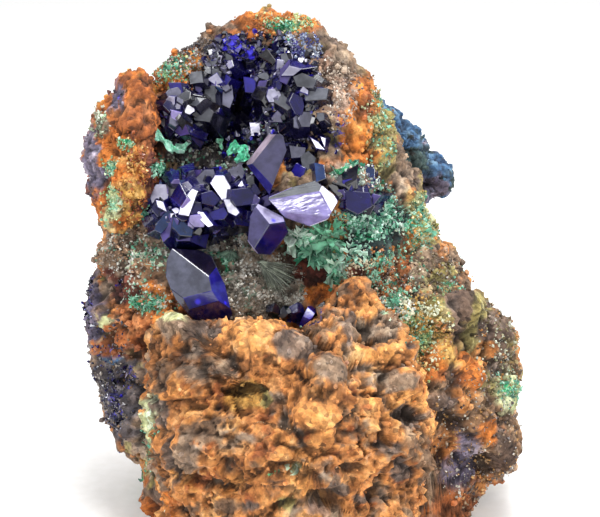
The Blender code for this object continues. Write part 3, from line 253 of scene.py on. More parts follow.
# Colours of the ground as they look in daylight: dark, middle and light, each red, green, blue from 0 to 255
TONES = {
    "tan": ((126, 78, 44), (198, 132, 76), (232, 176, 118)),
    "bright_tan": ((156, 98, 50), (222, 156, 92), (240, 196, 138)),
    "orange": ((126, 66, 28), (200, 118, 54), (232, 168, 96)),
    "yellow": ((156, 108, 48), (210, 162, 88), (236, 204, 140)),
    "rust": ((90, 48, 28), (164, 96, 54), (206, 140, 92)),
    "maroon": ((44, 22, 20), (92, 46, 38), (136, 84, 66)),
    "brown": ((72, 54, 42), (134, 104, 80), (184, 154, 124)),
    "greybrown": ((84, 72, 64), (146, 124, 106), (190, 172, 152)),
    "drab": ((80, 72, 66), (152, 142, 130), (210, 202, 190)),
    "goethite": ((54, 44, 42), (114, 96, 86), (168, 150, 136)),
    "violet": ((54, 48, 66), (114, 106, 128), (172, 164, 182)),
    "pink": ((128, 96, 82), (182, 148, 128), (216, 192, 178)),
    "olive": ((92, 86, 52), (158, 146, 92), (206, 198, 148)),
    "pale": ((128, 136, 96), (190, 196, 150), (230, 234, 206)),
    "dark": ((22, 20, 26), (70, 66, 72), (126, 120, 124)),
    "steel": ((30, 50, 82), (72, 108, 146), (134, 168, 194)),
    "blackgreen": ((16, 26, 28), (46, 64, 66), (90, 112, 110)),
    "black": ((4, 4, 8), (12, 12, 20), (30, 28, 40)),
}
# Tones that mix over a whole form: (tone, swell size, share)
BODY_PLAIN = [("greybrown", 0, 0), ("tan", 4.0, 0.42), ("goethite", 3.0, 0.40), ("orange", 2.6, 0.28), ("olive", 2.2, 0.2)]
BLOCK_PLAIN = [("tan", 0, 0), ("bright_tan", 3.4, 0.42), ("brown", 2.2, 0.24), ("greybrown", 2.6, 0.22), ("rust", 1.6, 0.14)]
WALL_PLAIN = [("orange", 0, 0), ("rust", 2.0, 0.42), ("yellow", 1.8, 0.3), ("maroon", 1.2, 0.2)]
NODULE_PLAIN = [("steel", 0, 0), ("blackgreen", 3.0, 0.45), ("violet", 2.4, 0.34)]
# Where each tone lies: (right, up, half width, half height, tone). Later ones lie over earlier ones.
BODY_ZONES = [
    (-8.0, 14.0, 7.0, 6.6, "dark"), (-10.0, 19.0, 3.0, 2.6, "greybrown"), (-16.6, 10.8, 2.6, 8.0, "rust"),
    (-16.8, 5.0, 2.4, 2.2, "orange"), (-20.6, 9.4, 1.4, 4.0, "violet"), (-15.6, -7.0, 4.4, 3.2, "rust"),
    (-12.6, -4.9, 2.8, 1.7, "orange"), (-17.5, 1.0, 3.4, 2.8, "greybrown"), (-15.0, -1.6, 2.4, 1.2, "brown"),
    (-17.6, -2.6, 1.6, 1.6, "maroon"), (-18.2, -13.6, 2.2, 5.4, "dark"), (-20.8, -5.0, 1.0, 5.0, "violet"), (-18.6, -9.0, 0.9, 1.6, "steel"), (-19.6, -7.0, 0.6, 1.0, "pale"),
    (-18.4, -8.0, 1.2, 1.8, "rust"), (-2.4, 23.2, 4.4, 1.5, "orange"), (-12.4, 18.6, 3.2, 2.4, "orange"),
    (3.0, 17.4, 2.6, 3.4, "pink"), (6.2, 12.4, 2.4, 5.6, "orange"), (8.0, 13.4, 1.2, 6.6, "olive"),
    (5.0, 20.0, 1.6, 2.0, "greybrown"), (6.6, 15.6, 1.4, 1.4, "rust"), (11.6, 3.4, 2.2, 3.6, "olive"),
    (10.8, 1.6, 1.4, 1.2, "orange"), (12.2, 5.0, 1.0, 1.6, "pale"), (-9.0, 1.4, 6.0, 2.2, "drab"),
    (-3.6, -3.0, 4.4, 3.8, "drab"), (1.2, -0.8, 2.6, 2.0, "maroon"), (1.8, -3.8, 2.2, 1.8, "orange"),
    (6.0, 7.2, 1.6, 1.4, "pink"), (4.0, 8.4, 1.2, 1.0, "pink"), (7.6, 2.6, 3.2, 3.6, "blackgreen"),
    (5.4, -2.4, 1.6, 1.6, "maroon"), (8.2, -2.6, 2.0, 1.6, "rust"), (10.8, -1.0, 1.8, 1.8, "rust"),
    (12.6, -0.6, 1.8, 2.0, "greybrown"), (13.6, -2.4, 1.4, 1.4, "olive"), (17.0, -14.0, 6.2, 12.0, "brown"), (19.0, -9.6, 3.0, 3.6, "olive"),
    (15.0, -5.6, 2.8, 2.2, "goethite"), (17.4, -6.4, 1.4, 3.0, "olive"), (19.6, -6.8, 1.8, 2.4, "goethite"),
    (17.0, -11.4, 1.8, 2.0, "orange"), (14.2, -9.4, 1.6, 1.8, "yellow"), (18.6, -9.6, 1.2, 1.6, "tan"),
    (20.4, -10.4, 1.2, 1.6, "goethite"), (11.6, -8.0, 2.6, 4.4, "olive"), (10.6, -6.4, 1.6, 1.6, "yellow"),
    (13.0, -11.0, 1.4, 1.6, "orange"), (16.0, -14.4, 1.4, 1.4, "tan"), (21.2, -13.4, 1.2, 2.2, "pale"),
    (16.2, -20.4, 2.2, 2.8, "violet"), (18.8, -17.4, 1.4, 1.2, "orange"), (14.0, -14.6, 1.4, 1.2, "goethite"),
    (20.2, -18.8, 1.2, 2.0, "goethite"), (15.4, -25.4, 2.6, 1.8, "rust"), (-14.6, -27.0, 1.8, 3.0, "orange"),
    (14.4, -18.4, 1.2, 1.6, "tan"), (18.2, -22.6, 1.4, 1.2, "tan"),
]
BLOCK_ZONES = [
    (-12.3, -7.3, 1.7, 1.4, "greybrown"), (-12.6, -6.4, 1.0, 0.6, "pale"), (-9.6, -7.4, 1.6, 0.9, "goethite"),
    (-4.8, -7.4, 3.0, 2.0, "bright_tan"), (-0.5, -9.0, 2.1, 1.8, "goethite"), (3.0, -11.2, 1.8, 1.5, "greybrown"),
    (4.9, -6.6, 0.8, 1.8, "goethite"), (7.6, -9.6, 3.4, 1.2, "bright_tan"), (8.6, -7.0, 2.0, 0.8, "greybrown"),
    (11.8, -8.8, 0.9, 1.3, "goethite"), (9.8, -12.2, 1.6, 1.1, "greybrown"), (-5.4, -13.8, 2.6, 1.2, "yellow"),
    (-3.6, -13.9, 0.8, 0.9, "olive"), (1.6, -15.0, 2.2, 1.8, "bright_tan"), (11.2, -16.0, 1.8, 1.3, "goethite"),
    (-10.6, -20.0, 1.2, 1.9, "greybrown"), (-12.2, -19.6, 0.6, 3.0, "goethite"), (-15.0, -17.0, 0.7, 3.0, "pale"),
    (3.6, -22.6, 1.2, 0.9, "goethite"), (6.6, -23.8, 1.6, 0.6, "goethite"), (-9.8, -22.6, 0.9, 0.8, "rust"),
    (10.4, -21.4, 1.0, 1.4, "goethite"), (-0.2, -21.4, 0.7, 0.7, "pale"), (-4.6, -24.6, 1.0, 0.7, "goethite"),
    (12.6, -20.0, 0.9, 3.0, "brown"), (-14.0, -12.0, 1.2, 2.2, "brown"), (-13.6, -26.0, 1.4, 3.0, "orange"),
    (-1.2, -24.8, 0.9, 0.8, "olive"), (8.6, -18.6, 0.8, 0.7, "goethite"), (-7.4, -24.8, 1.2, 0.8, "brown"),
    (1.4, -25.2, 1.0, 0.7, "pink"), (-13.9, -15.4, 0.7, 1.4, "goethite"),
]
WALL_ZONES = [
    (-17.4, 11.4, 3.0, 6.0, "orange"), (-16.6, 14.4, 2.0, 2.0, "rust"), (-16.4, 6.0, 1.8, 2.2, "yellow"),
    (-20.6, 9.6, 1.2, 3.6, "violet"), (-18.3, 16.3, 0.8, 1.7, "violet"), (-18.6, 5.6, 0.8, 2.0, "pale"),
    (-19.6, 13.8, 1.0, 1.2, "greybrown"), (-15.2, 10.4, 1.0, 3.6, "rust"), (-15.0, 5.0, 0.8, 1.4, "maroon"),
    (-16.0, 17.2, 1.4, 0.7, "rust"), (-14.7, 8.0, 0.5, 4.0, "maroon"),
]
NODULE_ZONES = [
    (9.6, 14.0, 2.4, 2.2, "steel"), (13.6, 9.4, 1.8, 1.4, "steel"), (10.4, 9.6, 2.6, 2.0, "blackgreen"),
    (12.4, 7.0, 2.4, 1.4, "violet"), (11.0, 11.8, 1.4, 0.8, "steel"),
]

# Where minerals coat the rock: (right, up, half width, half height, strength)
MALACHITE_ZONES = [
    (1.6, 1.4, 3.4, 2.0, 0.8), (6.8, 4.2, 3.6, 2.8, 0.7), (-7.5, -0.2, 1.2, 0.9, 0.8), (-15.6, -4.2, 1.7, 1.1, 0.9),
    (-13.7, 9.0, 1.6, 1.1, 0.8), (-10.4, 2.2, 1.0, 0.6, 0.9), (-2.2, 13.2, 1.6, 1.1, 0.9), (-11.2, 11.6, 1.2, 0.7, 0.8),
    (-1.5, 22.8, 2.2, 0.9, 0.7), (-12.5, 18.8, 2.8, 1.5, 0.6), (7.9, 13.2, 1.0, 6.0, 0.4), (11.2, 3.2, 1.8, 3.0, 0.45),
    (11.4, -7.4, 1.8, 3.6, 0.45), (-17.4, 11.4, 0.6, 0.6, 0.7), (-18.8, 9.1, 0.5, 0.8, 0.7), (-15.0, 0.2, 2.6, 1.2, 0.4),
    (9.4, -4.6, 1.2, 1.6, 0.7), (4.4, 8.6, 2.0, 0.8, 0.8), (14.6, -3.0, 1.4, 1.0, 0.4), (21.0, -12.8, 1.2, 2.0, 0.5),
    (3.4, -1.6, 0.9, 1.4, 0.8), (-15.0, -18.6, 0.8, 3.0, 0.4), (-2.6, -21.4, 0.8, 0.5, 0.5), (8.6, -0.4, 1.6, 1.0, 0.5),
]
AZURITE_ZONES = [
    (-20.6, -4.2, 0.6, 3.4, 0.6), (-18.3, -2.9, 0.4, 1.2, 0.6), (-18.4, -14.6, 0.8, 2.6, 0.8), (-17.4, -12.4, 1.0, 2.6, 0.4), (-18.6, -9.4, 0.6, 1.2, 0.4), (-6.2, 20.6, 3.0, 1.4, 0.9),
    (-0.2, 20.8, 1.6, 1.2, 0.8), (-12.2, 15.0, 1.8, 1.8, 0.6), (7.0, 8.1, 0.9, 1.6, 0.9), (5.8, 5.4, 1.8, 1.6, 0.9),
    (-0.2, -5.9, 3.2, 0.8, 0.9), (-9.4, 5.6, 6.0, 3.0, 0.8), (-17.9, 16.3, 0.6, 1.0, 0.4), (3.6, 12.4, 1.4, 3.4, 0.4),
]
PALE_ZONES = [
    (-15.5, -0.2, 3.4, 1.9, 0.8), (9.0, -4.9, 0.9, 1.6, 0.9), (-19.6, 13.8, 1.1, 1.2, 0.8), (-18.6, 5.4, 0.8, 1.8, 0.8),
    (11.2, 3.4, 2.4, 3.2, 0.7), (-4.1, -16.4, 0.5, 0.4, 1.0), (-0.7, -21.2, 1.0, 0.7, 0.9), (12.4, -9.0, 2.2, 4.6, 0.5),
    (-12.0, -7.0, 1.0, 0.8, 0.6), (1.6, 1.6, 3.2, 2.0, 0.5), (-8.0, 1.2, 3.0, 1.4, 0.6), (21.2, -13.2, 0.8, 1.8, 0.6),
    (-15.2, -17.0, 0.7, 3.0, 0.6), (8.6, 14.0, 1.0, 5.6, 0.4), (-13.6, -24.6, 0.8, 0.8, 0.8),
]

VIVID_PLACES = [(-6.0, 20.6, 2.8, 1.4), (-12.4, 16.6, 1.8, 1.4), (-5.0, 5.6, 2.4, 2.0), (-8.4, 4.4, 1.6, 1.2)]
# Places where more crystals get the grey tone, a painted reflection of the white room: (right, up, half width, half
# height)
GREY_PLACES = [(-1.0, 15.0, 4.6, 4.0), (-9.6, 18.8, 3.0, 3.0), (-10.0, 14.0, 2.0, 2.0), (-8.4, 9.0, 3.4, 1.6)]

# Tones of the large crystals, face by face in the order of their tables. The grey, pale and near-white tones are
# painted reflections and glints of the room and lamps; the near-black, blue and violet ones are the crystal's own
# colour.
LARGE_TONES = [
    (72, 74, 90), (20, 17, 36), (30, 26, 118), (28, 24, 112), (10, 8, 76), (10, 8, 60), (14, 11, 58), (14, 11, 58),
]
BLADE_TONES = [(54, 52, 78), (150, 136, 152), (34, 29, 104), (20, 16, 72), (16, 13, 56)]
BRIGHT_TONES = [(120, 112, 166), (58, 62, 70), (206, 200, 224), (120, 114, 166), (16, 12, 44), (20, 16, 64)]
WEDGE_TONES = [(58, 54, 92), (6, 6, 70), (140, 134, 170), (16, 13, 62), (12, 10, 54)]

# Kinds of crystal that show one flat face: the way it faces, its tone, and the tone of the sides behind it. The glint,
# pale, grey, ash and mauve tones of the shown face are painted reflections and glints of the room and lamps; the others
# are the crystal's own colour.
KINDS = {
    "glint": ((-0.11, -0.01, 0.99), (158, 154, 190), (18, 14, 70)),
    "pale": ((-0.16, 0.05, 0.98), (150, 148, 170), (24, 20, 80)),
    "grey": ((0.16, 0.28, 0.94), (92, 92, 110), (16, 14, 40)),
    "ash": ((-0.30, 0.30, 0.90), (74, 76, 84), (12, 12, 26)),
    "dark": ((0.35, -0.30, 0.88), (8, 7, 22), (5, 4, 16)),
    "deep": ((0.30, 0.10, 0.95), (14, 11, 66), (9, 7, 46)),
    "blue": ((-0.30, 0.20, 0.93), (28, 23, 112), (14, 11, 64)),
    "violet": ((-0.40, 0.10, 0.90), (64, 54, 112), (16, 13, 60)),
    "mauve": ((0.15, -0.25, 0.95), (116, 104, 160), (22, 18, 76)),
    "teal": ((0.10, 0.30, 0.95), (22, 46, 92), (8, 16, 48)),
}
# Crystals that show one flat face: (kind, lift, depth, corners of the face round it as right, up)
CLUSTER_PLATES = [
    ("pale", 2.0, 2.6, [(-14.4, 7.4), (-12.9, 7.4), (-13.2, 6.0), (-14.7, 5.2), (-15.0, 6.0), (-14.9, 6.7)]),
    ("deep", 1.8, 2.6, [(-14.4, 6.0), (-13.4, 6.2), (-13.3, 4.6), (-14.2, 4.1), (-14.9, 5.0)]),
    ("violet", 1.9, 2.6, [(-14.0, 4.6), (-13.2, 4.9), (-12.8, 3.6), (-13.0, 2.2), (-13.7, 1.6), (-14.1, 2.6)]),
    ("teal", 2.2, 2.8, [(-12.7, 4.3), (-11.6, 3.7), (-10.7, 2.9), (-10.8, 2.2), (-12.0, 2.3), (-12.8, 3.2)]),
    ("glint", 2.7, 3.0, [(-10.8, 7.0), (-10.2, 6.7), (-11.1, 4.2), (-12.2, 4.4), (-11.9, 5.6)]),
    ("deep", 2.3, 2.8, [(-11.3, 5.6), (-9.9, 5.6), (-9.7, 4.6), (-10.8, 4.4)]),
    ("mauve", 2.6, 3.0, [(-11.0, 4.3), (-10.0, 4.4), (-9.4, 3.8), (-9.6, 3.1), (-10.6, 3.1), (-11.1, 3.6)]),
    ("glint", 2.9, 3.2, [(-10.3, 4.7), (-9.6, 4.6), (-8.6, 3.3), (-9.2, 3.1), (-10.2, 4.0)]),
    ("blue", 2.6, 3.0, [(-9.2, 4.6), (-7.6, 5.2), (-7.2, 4.5), (-7.6, 3.9), (-8.8, 3.8)]),
    ("glint", 2.8, 3.0, [(-9.0, 7.5), (-8.5, 8.3), (-7.6, 8.3), (-6.9, 7.1), (-7.0, 5.9), (-7.8, 5.8)]),
    ("grey", 2.2, 2.8, [(-10.5, 8.0), (-9.6, 8.9), (-8.6, 8.9), (-8.4, 8.2), (-9.4, 7.1), (-10.3, 7.1)]),
    ("violet", 2.4, 2.6, [(-10.9, 8.8), (-9.8, 8.9), (-9.9, 8.2), (-10.5, 8.1)]),
    ("teal", 2.0, 2.6, [(-12.5, 7.9), (-11.3, 7.9), (-11.1, 7.2), (-12.2, 7.0)]),
    ("dark", 2.0, 2.6, [(-12.9, 7.0), (-12.0, 7.0), (-11.9, 5.8), (-12.9, 5.8)]),
    ("glint", 2.3, 2.4, [(-6.3, 7.2), (-5.8, 7.9), (-5.5, 7.1)]),
    ("deep", 2.4, 2.8, [(-6.8, 6.9), (-5.0, 7.1), (-4.4, 6.2), (-4.8, 5.4), (-6.4, 5.2), (-6.8, 5.8)]),
    ("grey", 1.9, 2.8, [(-7.2, 8.9), (-5.8, 9.4), (-5.4, 8.4), (-6.6, 7.4), (-7.2, 7.8)]),
    ("ash", 1.9, 2.6, [(-5.5, 8.6), (-4.6, 8.2), (-4.5, 7.0), (-5.3, 7.0)]),
    ("pale", 2.9, 3.0, [(-7.7, 5.9), (-6.9, 5.9), (-6.0, 4.6), (-6.4, 4.2), (-7.2, 4.6)]),
    ("deep", 2.2, 2.8, [(-9.9, 6.5), (-8.8, 6.8), (-7.9, 5.9), (-8.6, 5.2), (-9.8, 5.5)]),
    ("violet", 2.1, 2.6, [(-12.5, 2.4), (-10.9, 2.2), (-11.0, 1.7), (-12.4, 1.7)]),
    ("violet", 1.4, 2.6, [(-4.2, 5.9), (-3.2, 6.4), (-2.9, 5.4), (-3.9, 4.9)]),
    ("blue", 1.2, 2.4, [(-1.2, 8.2), (-0.4, 9.6), (0.6, 9.0), (0.2, 7.6)]),
    ("ash", 1.3, 2.6, [(0.0, 10.2), (0.8, 10.8), (1.6, 10.0), (1.2, 8.2), (0.4, 8.0)]),
    ("teal", 1.4, 2.6, [(1.4, 9.6), (2.4, 9.4), (2.6, 8.0), (1.6, 7.6)]),
]
RIGHT_PLATES = [
    ("teal", 1.6, 2.6, [(6.5, 9.3), (7.5, 9.0), (7.4, 7.0), (6.6, 6.9)]),
    ("deep", 1.8, 2.8, [(4.6, 6.8), (7.0, 6.6), (7.2, 5.2), (5.8, 4.4), (4.6, 5.0)]),
    ("blue", 1.6, 2.4, [(4.2, 7.8), (5.2, 8.0), (5.2, 6.8), (4.4, 6.6)]),
]
VUG_PLATES = [
    ("ash", 1.9, 2.8, [(-9.6, 17.3), (-8.5, 17.3), (-8.4, 15.6), (-9.5, 15.4)]),
    ("pale", 2.2, 2.6, [(-9.6, 15.6), (-8.0, 15.0), (-8.1, 14.6), (-9.4, 14.9)]),
    ("ash", 2.2, 3.0, [(-10.9, 15.3), (-9.4, 15.5), (-8.6, 14.6), (-9.0, 13.6), (-10.6, 13.8)]),
    ("grey", 1.9, 3.0, [(-7.7, 18.6), (-6.9, 18.4), (-6.6, 16.0), (-7.0, 15.0), (-7.8, 15.4)]),
    ("violet", 1.5, 2.4, [(-14.1, 15.6), (-13.2, 15.2), (-13.3, 14.0), (-14.0, 14.2)]),
    ("pale", 1.8, 2.4, [(-13.2, 15.8), (-11.8, 15.6), (-12.0, 14.9), (-13.1, 14.9)]),
    ("mauve", 2.0, 2.6, [(-13.0, 14.9), (-11.8, 14.6), (-11.9, 13.5), (-12.8, 13.6)]),
    ("violet", 1.8, 2.6, [(-12.6, 13.8), (-11.4, 13.4), (-11.0, 12.4), (-12.0, 12.2), (-12.7, 12.8)]),
    ("blue", 1.6, 2.6, [(-13.2, 17.6), (-11.9, 17.6), (-11.6, 16.2), (-12.8, 15.9)]),
    ("pale", 2.2, 2.4, [(-3.2, 16.9), (-2.2, 17.0), (-1.9, 16.3), (-2.3, 15.6), (-3.1, 15.6), (-3.4, 16.2)]),
    ("grey", 2.2, 2.4, [(-3.8, 15.4), (-3.0, 15.6), (-2.6, 15.0), (-3.0, 14.5), (-3.7, 14.6)]),
    ("glint", 2.4, 2.8, [(-5.1, 13.6), (-4.0, 13.6), (-3.9, 12.3), (-4.9, 12.2)]),
    ("dark", 2.2, 2.8, [(-6.0, 13.4), (-5.2, 13.6), (-5.0, 12.2), (-5.8, 12.4)]),
    ("grey", 2.0, 2.2, [(0.1, 14.7), (1.1, 14.7), (1.4, 14.0), (1.0, 13.2), (0.1, 13.2), (-0.2, 13.9)]),
    ("ash", 1.8, 2.2, [(1.7, 14.6), (2.4, 14.6), (2.5, 13.9), (1.9, 13.7), (1.6, 14.1)]),
    ("glint", 2.0, 2.2, [(1.0, 12.1), (1.9, 11.6), (2.6, 10.8), (1.6, 11.0)]),
    ("glint", 1.9, 2.0, [(2.0, 12.2), (2.6, 12.0), (2.5, 10.9)]),
    ("grey", 1.8, 2.4, [(-1.1, 11.3), (0.6, 11.1), (0.5, 10.1), (-0.9, 10.0)]),
    ("blue", 1.8, 2.6, [(-5.7, 18.2), (-4.4, 18.0), (-4.5, 16.5), (-5.5, 16.6)]),
    ("ash", 1.6, 2.4, [(0.3, 17.2), (2.9, 17.0), (2.7, 15.9), (0.5, 15.8)]),
    ("violet", 1.6, 2.4, [(-1.8, 14.2), (-0.8, 14.4), (-0.6, 13.2), (-1.6, 12.9)]),
    ("grey", 1.7, 2.4, [(-3.4, 13.2), (-2.2, 13.4), (-2.0, 12.2), (-3.2, 11.9)]),
    ("violet", 1.6, 2.2, [(-1.4, 16.0), (-0.4, 16.2), (-0.2, 15.0), (-1.2, 14.9)]),
    ("ash", 1.6, 2.4, [(-11.2, 18.6), (-9.8, 18.8), (-9.6, 17.6), (-11.0, 17.4)]),
]

# Sprays: (right, up, lift) of the root, the way they grow, length, blade width, count, spread in degrees, colours
# Painted light: small vivid blue spots painted under the faces of the large crystals, where light shines through them:
# (right, up, toward, radius)
PAINTED_FLASHES = [
    (-10.2, -4.3, 0.6, 0.42), (-9.0, -2.6, 0.4, 0.3), (-2.7, 3.7, 1.4, 0.4), (-3.8, 5.7, 0.9, 0.35), (-7.4, -4.4, 0.2, 0.3),
]

# Crumpled malachite: (middle right, up, lift), (reach right, up, toward), flakes, (smallest, largest), two greens
SPRAYS = {
    "malachite_flake_left": ((-0.2, 2.1, 0.6), (1.3, 0.8, 0.5), 30, (0.7, 1.6), ((150, 206, 178), (232, 246, 236))),
    "malachite_flake_middle": ((1.3, 0.9, 0.5), (1.5, 0.9, 0.5), 34, (0.6, 1.5), ((40, 130, 98), (150, 216, 184))),
    "malachite_flake_upper": ((2.7, 2.0, 0.6), (1.2, 1.2, 0.6), 36, (0.8, 1.8), ((10, 92, 62), (140, 222, 182))),
    "malachite_flake_lower": ((3.4, -0.8, 0.4), (0.9, 1.3, 0.4), 30, (0.5, 1.3), ((90, 166, 132), (206, 236, 216))),
    "malachite_flake_right": ((4.8, 0.4, 0.4), (1.2, 1.2, 0.4), 30, (0.5, 1.3), ((40, 120, 92), (196, 232, 214))),
}
# Fans of fine fibres: root (right, up, lift), way, length, width, fibres, spread in degrees, two greens
FANS = {
    "malachite_fan": ((-3.9, -0.4, 0.8), (0.66, -0.60, 0.44), 5.0, 0.15, 420, 62, ((58, 66, 58), (168, 178, 158))),
    "malachite_small_fan": ((-6.9, 0.7, 0.7), (-0.1, -0.5, 0.86), 2.2, 0.2, 150, 90, ((70, 116, 92), (170, 200, 176))),
}
# Folded ribbons: the path as (right, up, lift), width, two greens
RIBBONS = {
    "green_ribbon": (
        [(-15.8, 12.7, 1.6), (-15.0, 12.7, 2.1), (-14.0, 12.2, 1.8), (-13.0, 11.2, 1.4), (-12.3, 10.9, 1.4),
         (-11.4, 11.4, 1.4), (-10.0, 12.5, 1.2)],
        0.55, ((110, 206, 172), (206, 246, 228)),
    ),
    "green_strand": ([(-8.8, 13.7, 1.3), (-8.4, 12.9, 1.5), (-8.1, 12.1, 1.5), (-7.8, 10.9, 1.3)], 0.4, ((70, 180, 140), (190, 240, 216))),
    "green_tuft": (
        [(-7.2, 10.3, 1.5), (-6.8, 11.1, 1.8), (-6.0, 11.2, 2.0), (-5.4, 10.7, 1.9), (-5.8, 10.0, 1.8), (-6.6, 9.9, 1.6)],
        0.7, ((50, 190, 146), (150, 244, 212)),
    ),
}
# Grains grown on the rock: (right, up, half width, half height, count, tones)
GRAINS = [
    (6.8, 4.4, 3.6, 2.8, 1700, ((156, 196, 180), (206, 226, 214), (110, 158, 138), (50, 76, 74), (34, 38, 44))),
    (11.8, 3.4, 1.8, 3.6, 600, ((182, 180, 116), (200, 156, 88), (214, 214, 172), (150, 146, 80))),
    (8.4, -1.6, 4.2, 2.8, 1500, ((130, 176, 150), (222, 206, 176), (90, 66, 52), (186, 122, 70), (70, 116, 94))),
    (9.6, -4.7, 2.0, 1.8, 600, ((242, 246, 242), (176, 216, 194), (120, 170, 140), (230, 224, 200))),
    (11.8, -8.0, 2.8, 4.6, 1700, ((206, 166, 98), (220, 200, 136), (150, 170, 116), (190, 130, 74), (222, 226, 196))),
    (13.4, -2.0, 2.4, 2.4, 600, ((126, 108, 84), (170, 166, 128), (186, 130, 76), (96, 80, 66))),
    (20.0, -8.6, 2.6, 6.0, 1100, ((134, 120, 86), (176, 172, 138), (104, 86, 66), (210, 214, 192), (180, 128, 76))),
    (17.0, -18.0, 5.0, 7.0, 1100, ((156, 132, 104), (106, 90, 80), (196, 152, 98), (196, 190, 176), (84, 72, 72))),
    (-17.0, 0.6, 3.8, 3.0, 1100, ((160, 144, 130), (220, 220, 210), (120, 98, 86), (196, 158, 126), (120, 160, 138))),
    (-15.0, -4.0, 3.4, 2.0, 500, ((180, 124, 84), (206, 216, 200), (120, 76, 56), (120, 180, 150))),
    (-3.8, -3.2, 4.6, 4.0, 2000, ((132, 124, 112), (172, 166, 156), (90, 84, 76), (208, 206, 196), (112, 126, 110))),
    (-8.0, 1.4, 6.0, 1.8, 1100, ((96, 90, 84), (54, 50, 50), (176, 176, 170), (96, 124, 110))),
    (-10.4, 19.0, 3.6, 2.8, 1500, ((128, 116, 110), (90, 84, 84), (160, 150, 144), (62, 58, 64))),
    (-9.4, 9.8, 5.0, 2.0, 800, ((92, 84, 76), (50, 46, 46), (150, 150, 140), (76, 124, 100), (170, 210, 190))),
    (-13.0, 18.6, 3.0, 1.8, 700, ((136, 176, 126), (190, 206, 150), (206, 130, 64), (180, 100, 50))),
    (7.6, 13.4, 1.6, 6.6, 900, ((172, 164, 104), (206, 150, 84), (186, 196, 150), (120, 96, 72))),
    (3.4, 16.6, 2.6, 4.0, 700, ((176, 150, 130), (146, 124, 108), (204, 188, 172), (116, 98, 90))),
    (-1.8, 22.9, 3.4, 1.2, 600, ((206, 140, 70), (136, 176, 116), (196, 206, 150), (160, 94, 48))),
    (-18.6, -12.0, 2.4, 7.0, 900, ((56, 56, 72), (106, 100, 104), (40, 36, 90), (150, 140, 130), (126, 100, 74))),
    (5.4, 7.8, 2.6, 1.6, 500, ((190, 156, 136), (206, 222, 208), (130, 110, 100), (160, 206, 182))),
    (-0.4, 20.9, 2.8, 1.6, 900, ((110, 126, 172), (146, 160, 194), (80, 82, 140), (170, 178, 196))),
    (-6.0, 20.4, 2.6, 1.2, 500, ((50, 44, 120), (76, 68, 150), (96, 92, 130), (36, 32, 80))),
]
# Grains on the left wall, as above
WALL_GRAINS = [
    (-17.4, 11.4, 0.9, 0.7, 110, ((130, 190, 140), (180, 220, 176))),
    (-18.8, 9.1, 0.7, 1.1, 110, ((150, 186, 140), (206, 220, 186))),
    (-18.8, 5.6, 1.1, 2.2, 260, ((170, 196, 140), (206, 214, 160), (150, 206, 170))),
    (-19.8, 13.6, 1.1, 1.6, 220, ((120, 130, 104), (216, 224, 206), (160, 168, 140))),
    (-15.2, 4.4, 1.0, 0.8, 90, ((60, 110, 90), (110, 160, 130))),
    (-16.8, 8.0, 1.6, 5.0, 500, ((206, 150, 76), (170, 96, 52), (226, 180, 106), (150, 80, 44))),
]
# Where more small crystals show one flat face: (places, number, smallest and largest, lift, kinds and their shares)
THRONGS = {
    "shelf": (
        [(-9.4, 5.4, 5.6, 3.0)], 90, (0.3, 0.75), (1.0, 2.3),
        {"deep": 0.3, "dark": 0.12, "violet": 0.16, "mauve": 0.12, "glint": 0.12, "blue": 0.06, "teal": 0.06, "pale": 0.06},
    ),
    "vug": (
        [(-2.6, 15.6, 4.8, 4.6), (-10.4, 14.6, 3.2, 2.8), (-7.4, 18.6, 2.2, 1.6)], 150, (0.3, 0.85), (0.8, 2.2),
        {"ash": 0.26, "grey": 0.2, "dark": 0.2, "violet": 0.1, "deep": 0.08, "pale": 0.08, "mauve": 0.05, "blue": 0.03},
    ),
    "right": ([(5.8, 6.2, 1.8, 1.8)], 16, (0.3, 0.7), (1.0, 1.8), {"deep": 0.4, "teal": 0.2, "dark": 0.2, "violet": 0.2}),
}


def seen(right, up, toward):
    """Place of a point that shows `right` and `up` of the view's middle and lies `toward` nearer.

    The sight line through that point of the view is walked until it is that near, and the view is then tilted
    back to the upright frame.
    """
    right, up, toward = np.broadcast_arrays(*(np.asarray(v, float) for v in (right, up, toward)))
    narrowing = 1.0 - toward / VIEW_REACH
    side, rise = right * narrowing, up * narrowing
    return np.stack(
        [
            VIEW_MIDDLE[0] + side,
            VIEW_MIDDLE[1] + rise * math.sin(VIEW_TILT) - toward * math.cos(VIEW_TILT),
            VIEW_MIDDLE[2] + rise * math.cos(VIEW_TILT) + toward * math.sin(VIEW_TILT),
        ],
        axis=-1,
    )


def turned(direction):
    """A direction (right, up, toward) of the view, as a unit vector of the upright frame."""
    right, up, toward = direction
    vector = np.array(
        [
            right,
            up * math.sin(VIEW_TILT) - toward * math.cos(VIEW_TILT),
            up * math.cos(VIEW_TILT) + toward * math.sin(VIEW_TILT),
        ]
    )
    return vector / np.linalg.norm(vector)


def stirred(cells, salt):
    """A number from 0 to 1 for each whole-numbered cell: its indices times primes, stirred by shifts."""
    cells = cells.astype(np.uint32)
    mixed = cells[..., 0] * np.uint32(73856093)
    mixed ^= cells[..., 1] * np.uint32(19349663)
    mixed ^= cells[..., 2] * np.uint32(83492791)
    mixed ^= np.uint32(salt * 2654435761 % 2**32)
    for shift, prime in ((15, 2246822519), (13, 3266489917), (16, 668265263)):
        mixed = (mixed ^ (mixed >> np.uint32(shift))) * np.uint32(prime)
    return (mixed ^ (mixed >> np.uint32(15))) / 2.0**32


